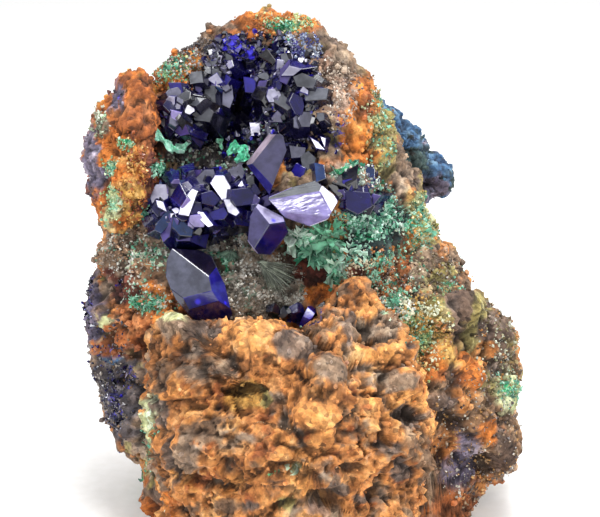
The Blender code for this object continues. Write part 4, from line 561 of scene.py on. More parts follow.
def waves(points, size, salt):
    """Smooth noise from -1 to 1, swells `size` wide: values on a cube grid, blended by quintic steps."""
    scaled = (points + PATTERN_SHIFT) / size
    corner = np.floor(scaled).astype(np.int64)
    share = scaled - corner
    share = share**3 * (share * (share * 6 - 15) + 10)
    total = 0.0
    for step in itertools.product((0, 1), repeat=3):
        weight = np.prod(np.where(step, share, 1 - share), axis=-1)
        total = total + weight * stirred(corner + np.array(step), salt)
    return total * 2 - 1


def rough(points, size, salt, octaves=3):
    """Waves at `size` and at each half of it, each half as high as the one before, from about -1 to 1."""
    total, height = 0.0, 0.6
    for octave in range(octaves):
        total = total + height * waves(points, size / 2**octave, salt + octave)
        height *= 0.55
    return total


def nearest_cells(points, size, salt):
    """The random centres round each point: offset from the nearest, its cell, and the distances to two."""
    scaled = (points + PATTERN_SHIFT) / size
    home = np.floor(scaled).astype(np.int64)
    nearest = np.full(scaled.shape[:-1], 9.0)
    after = nearest.copy()
    offset, owner = np.zeros_like(scaled), np.zeros_like(home)
    for step in itertools.product((-1, 0, 1), repeat=3):
        cell = home + np.array(step)
        away = scaled - cell - np.stack([stirred(cell, salt + k) for k in range(3)], axis=-1)
        distance = np.sqrt((away**2).sum(axis=-1))
        closer = distance < nearest
        after = np.minimum(after, np.maximum(nearest, distance))
        nearest = np.minimum(nearest, distance)
        offset[closer], owner[closer] = away[closer], cell[closer]
    return offset, owner, nearest, after


def domes(points, size, salt):
    """Rounded lumps about `size` wide: the root of 1 - (nearest / next)^2, so 1 on a lump and 0 in a crease."""
    _, _, nearest, after = nearest_cells(points, size, salt)
    return np.sqrt(np.clip(1 - (nearest / after) ** 2, 0, 1))


def chips(points, size, salt):
    """Broken faces: each random cell has a flat slope of its own, so that neighbours meet in small ledges."""
    offset, owner, _, _ = nearest_cells(points, size, salt)
    slope = np.stack([stirred(owner, salt + 5 + k) for k in range(3)], axis=-1) * 2 - 1
    return (offset * slope).sum(axis=-1) + 0.3 * (stirred(owner, salt + 9) - 0.5)


def ledges(points, size, salt):
    """Layers that break back one above another: a saw wave of the height, bent by swells."""
    level = points[..., 2] / size + 0.9 * waves(points, 6.0, salt) + 0.35 * waves(points, 2.2, salt + 1)
    share = level - np.floor(level)
    return np.where(share < 0.82, share / 0.82, (1 - share) / 0.18) - 0.5


def relief(spots, reach, right, up):
    """Height at each point: the spots' own heights, weighed by a bell curve of the distance to each."""
    spots = np.array(spots)
    away = (right[..., None] - spots[:, 0]) ** 2 + (up[..., None] - spots[:, 1]) ** 2
    weight = np.exp(-away / (2 * reach**2)) + 1e-12 / (1 + away)
    return (weight * spots[:, 2]).sum(axis=-1) / weight.sum(axis=-1)


def rim_at(outline, centre, angle):
    """(radius, toward) of an outline in the direction `angle` round its centre, even between its points."""
    points = np.array(outline)
    across, along = points[:, 0] - centre[0], points[:, 1] - centre[1]
    around = np.arctan2(along, across)
    radius = np.interp(angle, around, np.hypot(across, along), period=2 * math.pi)
    return radius, np.interp(angle, around, points[:, 2], period=2 * math.pi)


def squared_quarter(share, boxiness, flatness):
    """Walks a quarter of a squared circle evenly: its (radius, height) at each share of the way."""
    turn = np.linspace(0, math.pi / 2, 600)
    radius, height = np.sin(turn) ** (2 / boxiness), np.cos(turn) ** (2 / boxiness)
    step = np.hypot(np.diff(radius), flatness * np.diff(height))
    walked = np.concatenate([[0], np.cumsum(step)])
    at = share * walked[-1]
    return np.interp(at, walked, radius), np.interp(at, walked, height)


def two_sided_grid(cells):
    """A square grid for the front and one for the back, sewn round the edge like a cushion, in triangles."""
    line = np.linspace(-1, 1, cells + 1)
    across, along = (v.ravel() for v in np.meshgrid(line, line, indexing="ij"))
    inner = np.maximum(abs(across), abs(along)) < 1 - 1e-9
    front = np.arange(len(across))
    back = front.copy()
    back[inner] = len(across) + np.arange(inner.sum())
    grid = front.reshape(cells + 1, cells + 1)
    quads = np.stack([grid[:-1, :-1], grid[1:, :-1], grid[1:, 1:], grid[:-1, 1:]], axis=-1).reshape(-1, 4)
    quads = np.concatenate([quads, back[quads][:, ::-1]])
    faces = np.concatenate([quads[:, [0, 1, 2]], quads[:, [0, 2, 3]]])
    side = np.concatenate([np.ones(len(across)), -np.ones(inner.sum())])
    return np.concatenate([across, across[inner]]), np.concatenate([along, along[inner]]), side, faces


def disc_of_square(across, along):
    """(share of the radius, angle) of a square grid's points laid on a disc: each square ring is a circle."""
    ring = np.maximum(abs(across), abs(along))
    wide = abs(across) >= abs(along)
    safe = np.where(ring > 0, ring, 1)
    angle = np.where(wide, along / safe, 2 - across / safe) * math.pi / 4
    angle = np.where(wide & (across < 0), math.pi - angle, angle)
    angle = np.where(~wide & (along < 0), -angle, angle)
    return ring, angle


def outward(points, faces):
    """Unit normals of the points: the sum of the normals of the triangles round each, weighed by their size."""
    normal = np.cross(points[faces[:, 1]] - points[faces[:, 0]], points[faces[:, 2]] - points[faces[:, 0]])
    total = np.zeros_like(points)
    for corner in range(3):
        for axis in range(3):
            total[:, axis] += np.bincount(faces[:, corner], normal[:, axis], minlength=len(points))
    return total / np.maximum(np.linalg.norm(total, axis=1, keepdims=True), 1e-12)


def inside(right, up, row):
    """How far inside one ellipse of a table each point is: 1 in its middle, 0 on its edge, and less outside."""
    return 1 - np.hypot((right - row[0]) / row[2], (up - row[1]) / row[3])


def features(rows, right, up):
    """Bosses and hollows: each is its raise times a rounded profile, the root of the share inside its ellipse."""
    total = np.zeros_like(right)
    for row in rows:
        total += row[4] * np.sqrt(np.clip(inside(right, up, row), 0, 1))
    return total


class Form:
    """One lumpy closed form of the rock, with what is known at each of its points.

    The outline in the view, a front and a back relief, and bosses and hollows give the plain shape; textures
    then move each point along its normal.
    """

    def __init__(self, cells, outline, centre, front, front_reach, back, back_reach, boxiness, bosses, texture):
        across, along, side, faces = two_sided_grid(cells)
        share, angle = disc_of_square(across, along)
        reach, depth = squared_quarter(share, boxiness, 0.5)
        radius, rim = rim_at(outline, centre, angle)
        right = centre[0] + reach * radius * np.cos(angle)
        up = centre[1] + reach * radius * np.sin(angle)
        face = np.where(side > 0, relief(front, front_reach, right, up), relief(back, back_reach, right, up))
        toward = rim + (face - rim) * depth
        points = seen(right, up, toward)
        normals = outward(points, faces)
        height, detail = texture(points, right, up, side)
        height = height + np.where(side > 0, features(bosses, right, up) * np.clip(2 * depth, 0, 1), 0)
        self.points = points + normals * (height + detail)[:, None]
        self.points[:, 2] = np.maximum(self.points[:, 2], 0)
        self.faces, self.right, self.up = faces, right, up
        self.height, self.detail = height, detail
        self.normals = outward(self.points, faces)
        self.front = np.clip((toward - rim) / 4 + 1, 0, 1)


def body_texture(points, right, up, side):
    """Broken rock: swells and 6 mm lumps, then smaller lumps, chips and grains, and round balls on the right."""
    coarse = 1.2 * (domes(points, 6.0, 11) - 0.65) + 0.6 * (domes(points, 3.2, 17) - 0.6) + 0.8 * waves(points, 8.0, 3)
    balls = np.clip(0.2 + 1.3 * inside(right, up, (18.0, -13.0, 6.6, 14.0)), 0, 1)
    slaty = np.clip(2.4 * inside(right, up, (14.6, -5.6, 3.6, 2.8)), 0, 1)
    fine = (0.22 + 0.5 * balls) * (domes(points, 1.5, 41) - 0.62) + 0.2 * (domes(points, 0.8, 47) - 0.6)
    fine = fine + (1 - balls) * 0.6 * chips(points, 1.8, 53) + 0.16 * rough(points, 0.9, 59)
    return coarse, fine + 0.6 * rough(points, 2.2, 61, 3) * (1 - 0.5 * balls) + 0.55 * slaty * ledges(points, 0.8, 67)


def block_texture(points, right, up, side):
    """Earthy ochre: low lumps and broken slopes, with small ledges, chips, pits and grains between."""
    smooth = 1 - 0.75 * np.clip(2.2 * np.max([inside(right, up, row) for row in SMOOTH_PLACES], axis=0), 0, 1)
    coarse = 0.9 * (domes(points, 5.2, 23) - 0.65) + 0.9 * chips(points, 3.6, 27) + 0.6 * waves(points, 6.0, 5)
    coarse = (coarse + 0.6 * (domes(points, 2.8, 29) - 0.6)) * (0.3 + 0.7 * smooth)
    pits = np.clip(rough(points, 1.3, 71) - 0.34, 0, 1)
    fine = 0.45 * chips(points, 1.7, 73) + 0.34 * ledges(points, 2.5, 79) + 0.2 * (domes(points, 1.1, 83) - 0.6)
    fine = fine - 1.2 * pits + 0.26 * rough(points, 2.0, 97, 3)
    return coarse, fine * smooth + 0.1 * rough(points, 0.6, 89)


def knobby_texture(points, right, up, side):
    """Small round knobs 2 mm wide, with chips, smaller knobs and grains on them."""
    coarse = 0.6 * (domes(points, 3.4, 31) - 0.6) + 0.5 * (domes(points, 2.0, 35) - 0.6)
    fine = 0.3 * (domes(points, 1.1, 101) - 0.6) + 0.16 * (domes(points, 0.6, 103) - 0.6)
    return coarse, fine + 0.4 * chips(points, 1.5, 107) + 0.3 * rough(points, 1.8, 109, 3)


def daylight(tone):
    """Red, green and blue from 0 to 255 as linear light."""
    share = np.asarray(tone, float) / 255
    return np.where(share <= 0.04045, share / 12.92, ((share + 0.055) / 1.055) ** 2.4)


def toned(tone, mix):
    """A tone's colour where `mix` runs from 0, its dark end, over its middle to 1, its light end."""
    dark, middle, light = (daylight(colour) for colour in TONES[tone])
    mix = np.clip(mix, 0, 1)[:, None]
    return np.where(mix < 0.5, dark + (middle - dark) * mix * 2, middle + (light - middle) * (mix * 2 - 1))


def evened(values, faces, steps):
    """Values averaged with those of the points joined to each, `steps` times over."""
    ends = faces[:, [0, 1, 2]].ravel(), faces[:, [1, 2, 0]].ravel()
    count = np.bincount(ends[0], minlength=len(values))
    for _ in range(steps):
        values = np.bincount(ends[0], values[ends[1]], minlength=len(values)) / count
    return values


def ground_of(form, zones, plain):
    """Ground colour at each point: the plain tones mixed by swells, and on the front the zones laid over them.

    Each random cell is a little lighter or darker than the next, as broken pieces are.
    """
    points = form.points
    _, owner, _, _ = nearest_cells(points, 1.6, 251)
    mix = 0.44 + 0.45 * rough(points, 2.4, 201) + 0.2 * waves(points, 0.7, 211) + 0.3 * (stirred(owner, 257) - 0.5)
    colour = toned(plain[0][0], mix)
    for number, (tone, size, share) in enumerate(plain[1:]):
        weight = np.clip(5 * (rough(points, size, 221 + 7 * number) - 0.5 + share), 0, 1)[:, None]
        colour = colour + (toned(tone, mix) - colour) * weight
    bend = 1.0 * rough(points, 2.0, 231, 3), 1.0 * rough(points, 2.0, 241, 3)
    for number, row in enumerate(zones):
        ragged = 0.35 * rough(points, 1.1, 261 + number, 2)
        weight = np.clip(3.6 * (inside(form.right + bend[0], form.up + bend[1], row) + ragged) + 0.4, 0, 1)
        colour = colour + (toned(row[4], mix) - colour) * (weight * form.front)[:, None]
    return colour


def coat_of(form, zones, salt, elsewhere):
    """How strongly a mineral coats each point: the zones on the front, and swells of its own elsewhere."""
    bend = 0.8 * rough(form.points, 2.0, salt, 2), 0.8 * rough(form.points, 2.0, salt + 5, 2)
    total = np.zeros(len(form.points))
    for row in zones:
        strength = row[4] * np.clip(1.6 * inside(form.right + bend[0], form.up + bend[1], row) + 0.25, 0, 1)
        total = np.maximum(total, strength * form.front)
    back = np.clip(2.4 * rough(form.points, 6.0, salt + 11) - 0.9, 0, 1) * elsewhere
    return np.maximum(total, back * (1 - form.front))


def front_toward(right, up):
    """How near the body's plain front lies where the view shows (right, up)."""
    right, up = np.asarray(right, float), np.asarray(up, float)
    across, along = right - BODY_CENTRE[0], up - BODY_CENTRE[1]
    radius, rim = rim_at(BODY_OUTLINE, BODY_CENTRE, np.arctan2(along, across))
    share = np.clip(np.hypot(across, along) / radius, 0, 1)
    depth = (1 - share**BODY_BOXINESS) ** (1 / BODY_BOXINESS)
    return rim + (relief(BODY_FRONT, BODY_SPOT_REACH, right, up) - rim) * depth


def out_of_the_rock(right, up):
    """The direction out of the rock's front where the view shows (right, up), from its slopes there."""
    step = 0.8
    across = (front_toward(right + step, up) - front_toward(right - step, up)) / (2 * step)
    along = (front_toward(right, up + step) - front_toward(right, up - step)) / (2 * step)
    return np.array([-across, -along, 1.0])


def crystal_of(faces):
    """Corners and polygons of the convex solid inside flat faces, each a (point, normal).

    The corners are where three faces meet inside the rest. Round each face they are put in order by angle.
    """
    normals = np.array([normal for _, normal in faces])
    offsets = np.array([np.dot(point, normal) for point, normal in faces])
    threes = np.array(list(itertools.combinations(range(len(faces)), 3)))
    matrices, right_sides = normals[threes], offsets[threes]
    sound = abs(np.linalg.det(matrices)) > 1e-6
    meeting = np.linalg.solve(matrices[sound], right_sides[sound][..., None])[..., 0]
    meeting = meeting[(meeting @ normals.T <= offsets + 1e-6).all(axis=1)]
    corners = meeting[np.unique(np.round(meeting, 4), axis=0, return_index=True)[1]]
    polygons, owners = [], []
    for number, normal in enumerate(normals):
        held = np.flatnonzero(abs(corners @ normal - offsets[number]) < 1e-3)
        if len(held) < 3:
            continue
        around = corners[held] - corners[held].mean(axis=0)
        first = around[0] / np.linalg.norm(around[0])
        angle = np.arctan2(around @ np.cross(normal, first), around @ first)
        polygons.append(held[np.argsort(angle)])
        owners.append(number)
    return corners, polygons, owners


def shown_faces(faces):
    """Faces given as the view shows them, brought to the upright frame."""
    return [(seen(*point), turned(normal)) for point, normal in faces]


def habit_faces(place, axis, length, width, turn, thinness=0.34):
    """A blocky azurite crystal: a six-sided section wider than thick, and a roof-like tip."""
    aside = np.cross(axis, (0.31, 0.17, 0.93))
    aside /= np.linalg.norm(aside)
    over = np.cross(axis, aside)
    turn = math.radians(turn)
    wide = aside * math.cos(turn) + over * math.sin(turn)
    thin = np.cross(axis, wide)
    tip = place + axis * length
    sides = [
        (wide, 0.5),
        (-wide, 0.5),
        (thin, thinness),
        (-thin, thinness),
        (wide * 0.6 + thin * 0.8, 0.1 + thinness),
        (-wide * 0.6 - thin * 0.8, 0.1 + thinness),
    ]
    faces = [(place + side * share * width, side / np.linalg.norm(side)) for side, share in sides]
    for slant in (0.9 * wide, 0.3 * thin - 0.6 * wide):
        normal = axis + slant
        faces.append((tip, normal / np.linalg.norm(normal)))
    faces.append((place - axis * length * 0.4, -axis))
    return faces


def habit_crystals(rows, sink):
    """The faces of each crystal of a table by habit, set deeper by `sink` under the ones that show a face.

    Those set deeper are also smaller, by a tenth for each millimetre.
    """
    found = []
    for right, up, lift, length, width, lean, turn in rows:
        out = out_of_the_rock(right, up)
        axis = turned(out / np.linalg.norm(out) + np.array([*lean, 0.0]))
        middle = seen(right, up, front_toward(right, up) + lift - sink)
        size = 1 - 0.1 * sink
        found.append(habit_faces(middle - axis * length * 0.45, axis, length * 0.95 * size, width * size, turn))
    return found


def plate_faces(outline, facing, lift, depth):
    """A crystal that shows one flat face of a given outline, and widens a little behind it to a flat end.

    The face lies `lift` in front of the rock. Each side passes through one edge of it and leans outwards.
    """
    right, up = np.array(outline).T
    middle = right.mean(), up.mean()
    near = front_toward(*middle) + lift
    toward = near - ((right - middle[0]) * facing[0] + (up - middle[1]) * facing[1]) / facing[2]
    corners = seen(right, up, toward)
    centre = corners.mean(axis=0)
    normal = turned(facing)
    faces = [(centre, normal), (centre - normal * depth, -normal)]
    for here, there in zip(corners, np.roll(corners, -1, axis=0)):
        side = np.cross(there - here, normal)
        side *= np.sign(np.dot(here - centre, side)) / np.linalg.norm(side)
        lean = side + SIDE_LEAN * normal
        faces.append(((here + there) / 2, lean / np.linalg.norm(lean)))
    return faces


def throng(places, number, size, lift, kinds):
    """Rows like those of a table of plates: small crystals of mixed kinds, strewn over some ellipses."""
    rng = np.random.default_rng(number)
    rows = []
    for _ in range(number):
        place = places[rng.integers(0, len(places))]
        turn, out = rng.uniform(0, 2 * math.pi), rng.uniform(0, 1) ** 0.5
        middle = np.array(place[:2]) + out * np.array(place[2:]) * (math.cos(turn), math.sin(turn))
        if inside(*middle, HOLLOW_PLACE) > 0:
            continue
        count = rng.integers(4, 7)
        angle = np.sort((np.arange(count) + rng.uniform(-0.25, 0.25, count)) * 2 * math.pi / count)
        reach = rng.uniform(*size) * rng.uniform(0.8, 1.15, count)
        long, spin = rng.uniform(1.0, 1.9), rng.uniform(0, math.pi)
        x, y = reach * np.cos(angle) * long, reach * np.sin(angle)
        right = middle[0] + x * math.cos(spin) - y * math.sin(spin)
        up = middle[1] + x * math.sin(spin) + y * math.cos(spin)
        kind = rng.choice(list(kinds), p=list(kinds.values()))
        rows.append((kind, rng.uniform(*lift), 2.0, list(zip(right, up))))
    return rows


def mesh_piece(name, points, polygons, material, smooth=False, colours=(), **point_colours):
    """Writes a mesh: points in mm, polygons as one array of equal rows or as a list of rows.

    `colours` is one colour for each polygon, kept as tint, and each of `point_colours` one for each point.
    """
    mesh = bpy.data.meshes.new(name)
    counts = np.array([len(row) for row in polygons]) if isinstance(polygons, list) else None
    if counts is None:
        counts = np.full(len(polygons), polygons.shape[1])
    corners = np.concatenate(polygons) if isinstance(polygons, list) else polygons.ravel()
    mesh.vertices.add(len(points))
    mesh.vertices.foreach_set("co", (points * MM).astype(np.float32).ravel())
    mesh.loops.add(len(corners))
    mesh.loops.foreach_set("vertex_index", corners.astype(np.int32))
    mesh.polygons.add(len(counts))
    mesh.polygons.foreach_set("loop_start", (np.cumsum(counts) - counts).astype(np.int32))
    mesh.polygons.foreach_set("use_smooth", np.full(len(counts), smooth))
    mesh.update(calc_edges=True)
    if len(colours):
        painted(mesh, "tint", np.repeat(np.asarray(colours), counts, axis=0), "CORNER")
    for key, values in point_colours.items():
        painted(mesh, key, values, "POINT")
    mesh.materials.append(material)
    piece = bpy.data.objects.new(name, mesh)
    bpy.context.scene.collection.objects.link(piece)
    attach(piece, "root")
    return piece


def painted(mesh, name, colours, domain):
    """Keeps a colour for each point or corner of a mesh under a name."""
    colours = np.asarray(colours, float)
    full = np.ones((len(colours), 4), np.float32)
    full[:, : colours.shape[1]] = colours
    mesh.color_attributes.new(name, "FLOAT_COLOR", domain).data.foreach_set("color", full.ravel())


def gathered(solids):
    """Many crystals as one set of points, polygons and face colours: (faces, colours by face) each."""
    points, polygons, tints, count = [], [], [], 0
    for faces, colours in solids:
        corners, shapes, owners = crystal_of(faces)
        points.append(corners)
        polygons += [shape + count for shape in shapes]
        tints += [colours[owner % len(colours)] for owner in owners]
        count += len(corners)
    return np.concatenate(points), polygons, np.array(tints)


def bevelled(piece, width):
    """Takes the sharpness off a crystal's edges, so that they catch the light."""
    bevel = piece.modifiers.new("worn_edges", "BEVEL")
    bevel.width = width * MM
    bevel.segments = 1
    bevel.limit_method = "ANGLE"
    bevel.angle_limit = math.radians(12)
    bevel.harden_normals = False
    return piece


def fan_triangles(polygons):
    """Triangles that fan out from each polygon's first corner, and the polygon that each comes from."""
    triangles = [(shape[0], a, b) for shape in polygons for a, b in zip(shape[1:-1], shape[2:])]
    owners = [number for number, shape in enumerate(polygons) for _ in shape[2:]]
    return np.array(triangles), np.array(owners)


def placed(shape, places, axes, spins, sizes, stretch=(1, 1, 1)):
    """Copies of a small shape as arrays: each turned to its axis, spun about it, sized and put in place.

    Point = place + size * (x * aside + y * over + z * axis), with the spin turning aside and over.
    """
    points, triangles = shape
    axes = axes / np.linalg.norm(axes, axis=1, keepdims=True)
    helper = np.where(abs(axes[:, 2:]) < 0.9, (0.0, 0.0, 1.0), (1.0, 0.0, 0.0))
    first = np.cross(axes, helper)
    first /= np.linalg.norm(first, axis=1, keepdims=True)
    second = np.cross(axes, first)
    cosine, sine = np.cos(spins)[:, None], np.sin(spins)[:, None]
    aside, over = first * cosine + second * sine, second * cosine - first * sine
    local = points[None] * np.asarray(stretch)[None, None] * np.reshape(sizes, (-1, 1, 1))
    made = local[..., 0:1] * aside[:, None] + local[..., 1:2] * over[:, None] + local[..., 2:3] * axes[:, None]
    made = made + places[:, None]
    faces = triangles[None] + (np.arange(len(places)) * len(points))[:, None, None]
    return made.reshape(-1, 3), faces.reshape(-1, 3)


def heap(parts):
    """Several sets of copies as one: (points, triangles, colours) joined end to end."""
    points, faces, colours, count = [], [], [], 0
    for made, triangles, tints in parts:
        points.append(made)
        faces.append(triangles + count)
        colours.append(tints)
        count += len(made)
    return np.concatenate(points), np.concatenate(faces), np.concatenate(colours)


def crystal_shapes():
    """Small azurite crystals, blocky to tabular, as points, triangles and the face that each comes from."""
    found = []
    for length, thinness, turn in ((1.0, 0.34, 0), (1.3, 0.24, 30), (0.8, 0.42, 70), (1.1, 0.16, 15), (0.7, 0.2, 50)):
        faces = habit_faces(np.array((0, 0, -0.3)), np.array((0.05, 0.04, 0.998)), length, 0.9, turn, thinness)
        points, polygons, _ = crystal_of(faces)
        found.append((points, *fan_triangles(polygons)))
    return found


def pebble_shapes(seed):
    """Crumbs: the twenty faces of an icosahedron, each corner moved in or out at random."""
    rng = np.random.default_rng(seed)
    golden = (1 + 5**0.5) / 2
    ring = [(0, a, b * golden) for a in (-1, 1) for b in (-1, 1)]
    corners = np.array([tuple(np.roll(corner, turn)) for turn in range(3) for corner in ring]) / 1.9
    threes = np.array(list(itertools.combinations(range(12), 3)))
    spans = [np.linalg.norm(corners[threes[:, a]] - corners[threes[:, b]], axis=1) for a, b in ((0, 1), (1, 2), (0, 2))]
    faces = threes[np.max(spans, axis=0) < 1.2 * np.min(spans[0])]
    normal = np.cross(corners[faces[:, 1]] - corners[faces[:, 0]], corners[faces[:, 2]] - corners[faces[:, 0]])
    inward = (normal * corners[faces].mean(axis=1)).sum(axis=1) < 0
    faces[inward] = faces[inward][:, ::-1]
    return [(corners * rng.uniform(0.6, 1.25, (12, 1)), faces) for _ in range(5)]


def grain_shapes(seed):
    """Grains: the eight faces of an octahedron, each corner moved in or out at random."""
    rng = np.random.default_rng(seed)
    corners = np.concatenate([np.eye(3), -np.eye(3)]) * 0.5
    faces = np.array([(0, 1, 2), (1, 3, 2), (3, 4, 2), (4, 0, 2), (1, 0, 5), (3, 1, 5), (4, 3, 5), (0, 4, 5)])
    return [(corners * rng.uniform(0.55, 1.35, (6, 1)), faces) for _ in range(6)]


def flake_shapes(seed, kinds=6, columns=3, rows=4):
    """Crumpled flakes: a sheet x wide and y long, z = fold * sin(2 pi x + phase) * y + curl * y^2, closed behind.

    The sheet narrows to its root, its end is ragged, and its back is the same sheet a little behind.
    """
    rng = np.random.default_rng(seed)
    found = []
    for _ in range(kinds):
        x, y = np.meshgrid(np.linspace(-0.5, 0.5, columns + 1), np.linspace(0, 1, rows + 1), indexing="ij")
        phase, fold, curl = rng.uniform(0, 6.3), rng.uniform(0.1, 0.28), rng.uniform(-0.3, 0.3)
        z = fold * np.sin(2 * math.pi * x + phase) * y + curl * y**2
        wide = x * (0.35 + 0.9 * y - 0.35 * y**2)
        long = y * (1 + 0.25 * rng.uniform(-1, 1, (columns + 1, 1)) * y)
        front = np.stack([wide, z, long], axis=-1).reshape(-1, 3)
        back = front + (0, 0.09, 0)
        grid = np.arange(len(front)).reshape(columns + 1, rows + 1)
        quads = np.stack([grid[:-1, :-1], grid[1:, :-1], grid[1:, 1:], grid[:-1, 1:]], axis=-1).reshape(-1, 4)
        rim = np.concatenate([grid[:-1, 0], grid[-1, :-1], grid[:0:-1, -1], grid[0, :0:-1]])
        after = np.roll(rim, -1)
        band = np.stack([after, rim, rim + len(front), after + len(front)], axis=-1)
        quads = np.concatenate([quads, quads[:, ::-1] + len(front), band])
        found.append((np.concatenate([front, back]), np.concatenate([quads[:, [0, 1, 2]], quads[:, [0, 2, 3]]])))
    return found


NEEDLE = (
    np.array([(0.5, 0.0, 0.0), (-0.25, 0.43, 0.0), (-0.25, -0.43, 0.0), (0.0, 0.0, 1.0)]),
    np.array([(0, 1, 3), (1, 2, 3), (2, 0, 3), (2, 1, 0)]),
)


def sown(form, weight, count, seed):
    """Picks points of a form at random, as often as their weight says, each nudged within its cell."""
    rng = np.random.default_rng(seed)
    chance = np.clip(weight, 0, None) * (form.points[:, 2] > SOWN_ABOVE)
    picked = rng.choice(len(chance), size=count, p=chance / chance.sum())
    nudge = rng.normal(0, 0.12, (count, 3))
    return form.points[picked] + nudge, form.normals[picked], picked, rng


def sprinkled(form, weight, count, seed, shapes, size, tilt, sink, colour_of, stretch=(1, 1, 1)):
    """Small shapes sown over a form: each leans off the normal by up to `tilt` and sinks in by a share of its size.

    Small ones are commoner than large ones: the size rises with the square of an even chance.
    """
    places, normals, picked, rng = sown(form, weight, count, seed)
    axes = normals + rng.normal(0, tilt, (count, 3))
    sizes = size[0] + (size[1] - size[0]) * rng.random(count) ** 2
    spins = rng.uniform(0, 2 * math.pi, count)
    kind = rng.integers(0, len(shapes), count)
    parts = []
    for number, shape in enumerate(shapes):
        those = kind == number
        if those.any():
            sunk = places[those] - normals[those] * (sizes[those] * sink)[:, None]
            made = placed(shape[:2], sunk, axes[those], spins[those], sizes[those], stretch)
            parts.append((*made, colour_of(form, picked[those], len(shape[1]), rng)))
    return parts


class Finish:
    """A material while it is put together. Each method adds a node and gives back what it puts out."""

    def __init__(self, name):
        self.material = bpy.data.materials.new(name)
        self.material.use_nodes = True
        self.tree = self.material.node_tree
        self.shader = self.tree.nodes["Principled BSDF"]
        self.place = self.node("ShaderNodeTexCoord").outputs["Object"]

    def node(self, kind, sockets=(), **settings):
        made = self.tree.nodes.new(kind)
        for key, value in settings.items():
            setattr(made, key, value)
        for key, value in dict(sockets).items():
            self.put(made.inputs[key], value)
        return made

    def put(self, socket, value):
        if isinstance(value, bpy.types.NodeSocket):
            self.tree.links.new(value, socket)
        else:
            socket.default_value = value

    def stored(self, name):
        return self.node("ShaderNodeAttribute", attribute_name=name).outputs["Color"]

    def parts(self, colour):
        return self.node("ShaderNodeSeparateColor", {0: colour}).outputs

    def noise(self, size, detail=4.0, roughness=0.6, bend=0.0, place=None):
        sockets = {"Vector": place or self.place, "Scale": 1000 / size, "Detail": detail, "Roughness": roughness}
        return self.node("ShaderNodeTexNoise", {**sockets, "Distortion": bend}).outputs["Fac"]

    def cells(self, size, feature="F1", output="Distance", place=None):
        sockets = {"Vector": place or self.place, "Scale": 1000 / size}
        return self.node("ShaderNodeTexVoronoi", sockets, feature=feature).outputs[output]

    def stretched(self, turn, scale):
        sockets = {"Vector": self.place, "Rotation": turn, "Scale": scale}
        return self.node("ShaderNodeMapping", sockets).outputs[0]

    def sum(self, operation, first, second=0.0, third=0.0):
        return self.node("ShaderNodeMath", {0: first, 1: second, 2: third}, operation=operation).outputs[0]

    def between(self, value, low, high, start=0.0, end=1.0):
        sockets = {0: value, 1: low, 2: high, 3: start, 4: end}
        return self.node("ShaderNodeMapRange", sockets, interpolation_type="SMOOTHSTEP").outputs[0]

    def mixed(self, share, first, second, blend="MIX"):
        made = self.node("ShaderNodeMix", {0: share, 6: first, 7: second}, data_type="RGBA", blend_type=blend)
        return made.outputs[2]

    def ramp(self, value, *stops):
        made = self.node("ShaderNodeValToRGB", {0: value})
        band = made.color_ramp.elements
        while len(band) < len(stops):
            band.new(0.5)
        for element, (at, tone) in zip(band, stops):
            element.position = at
            element.color = (*daylight(tone), 1.0)
        return made.outputs[0]

    def grey(self, value):
        return self.node("ShaderNodeCombineColor", {0: value, 1: value, 2: value}).outputs[0]

    def bumped(self, height, distance, strength=1.0, under=None):
        sockets = {"Height": height, "Distance": distance * MM, "Strength": strength}
        if under:
            sockets["Normal"] = under
        return self.node("ShaderNodeBump", sockets).outputs[0]

    def done(self, colour, roughness, normal=None, **more):
        self.put(self.shader.inputs["Base Color"], colour)
        self.put(self.shader.inputs["Roughness"], roughness)
        if normal:
            self.put(self.shader.inputs["Normal"], normal)
        for key, value in more.items():
            self.put(self.shader.inputs[key.replace("_", " ")], value)
        return self.material


def malachite_colour(finish, place=None):
    """Bright mint through emerald to dark green, by fine cloudy noise."""
    cloud = finish.noise(0.7, 5.0, 0.7, place=place)
    return finish.ramp(cloud, (0.3, (8, 52, 36)), (0.44, (14, 128, 82)), (0.56, (64, 190, 136)), (0.72, (176, 238, 204)))


def azurite_colour(finish):
    """Near-black through deep blue to violet blue, by noise and by small cells like tiny faces."""
    cells = finish.parts(finish.cells(0.7, output="Color"))[0]
    cloud = finish.noise(1.2, 4.0, 0.6)
    mix = finish.sum("ADD", finish.sum("MULTIPLY", cells, 0.5), finish.sum("MULTIPLY", cloud, 0.6))
    return finish.ramp(mix, (0.25, (6, 6, 22)), (0.5, (24, 22, 96)), (0.68, (58, 50, 160)), (0.85, (120, 116, 196)))


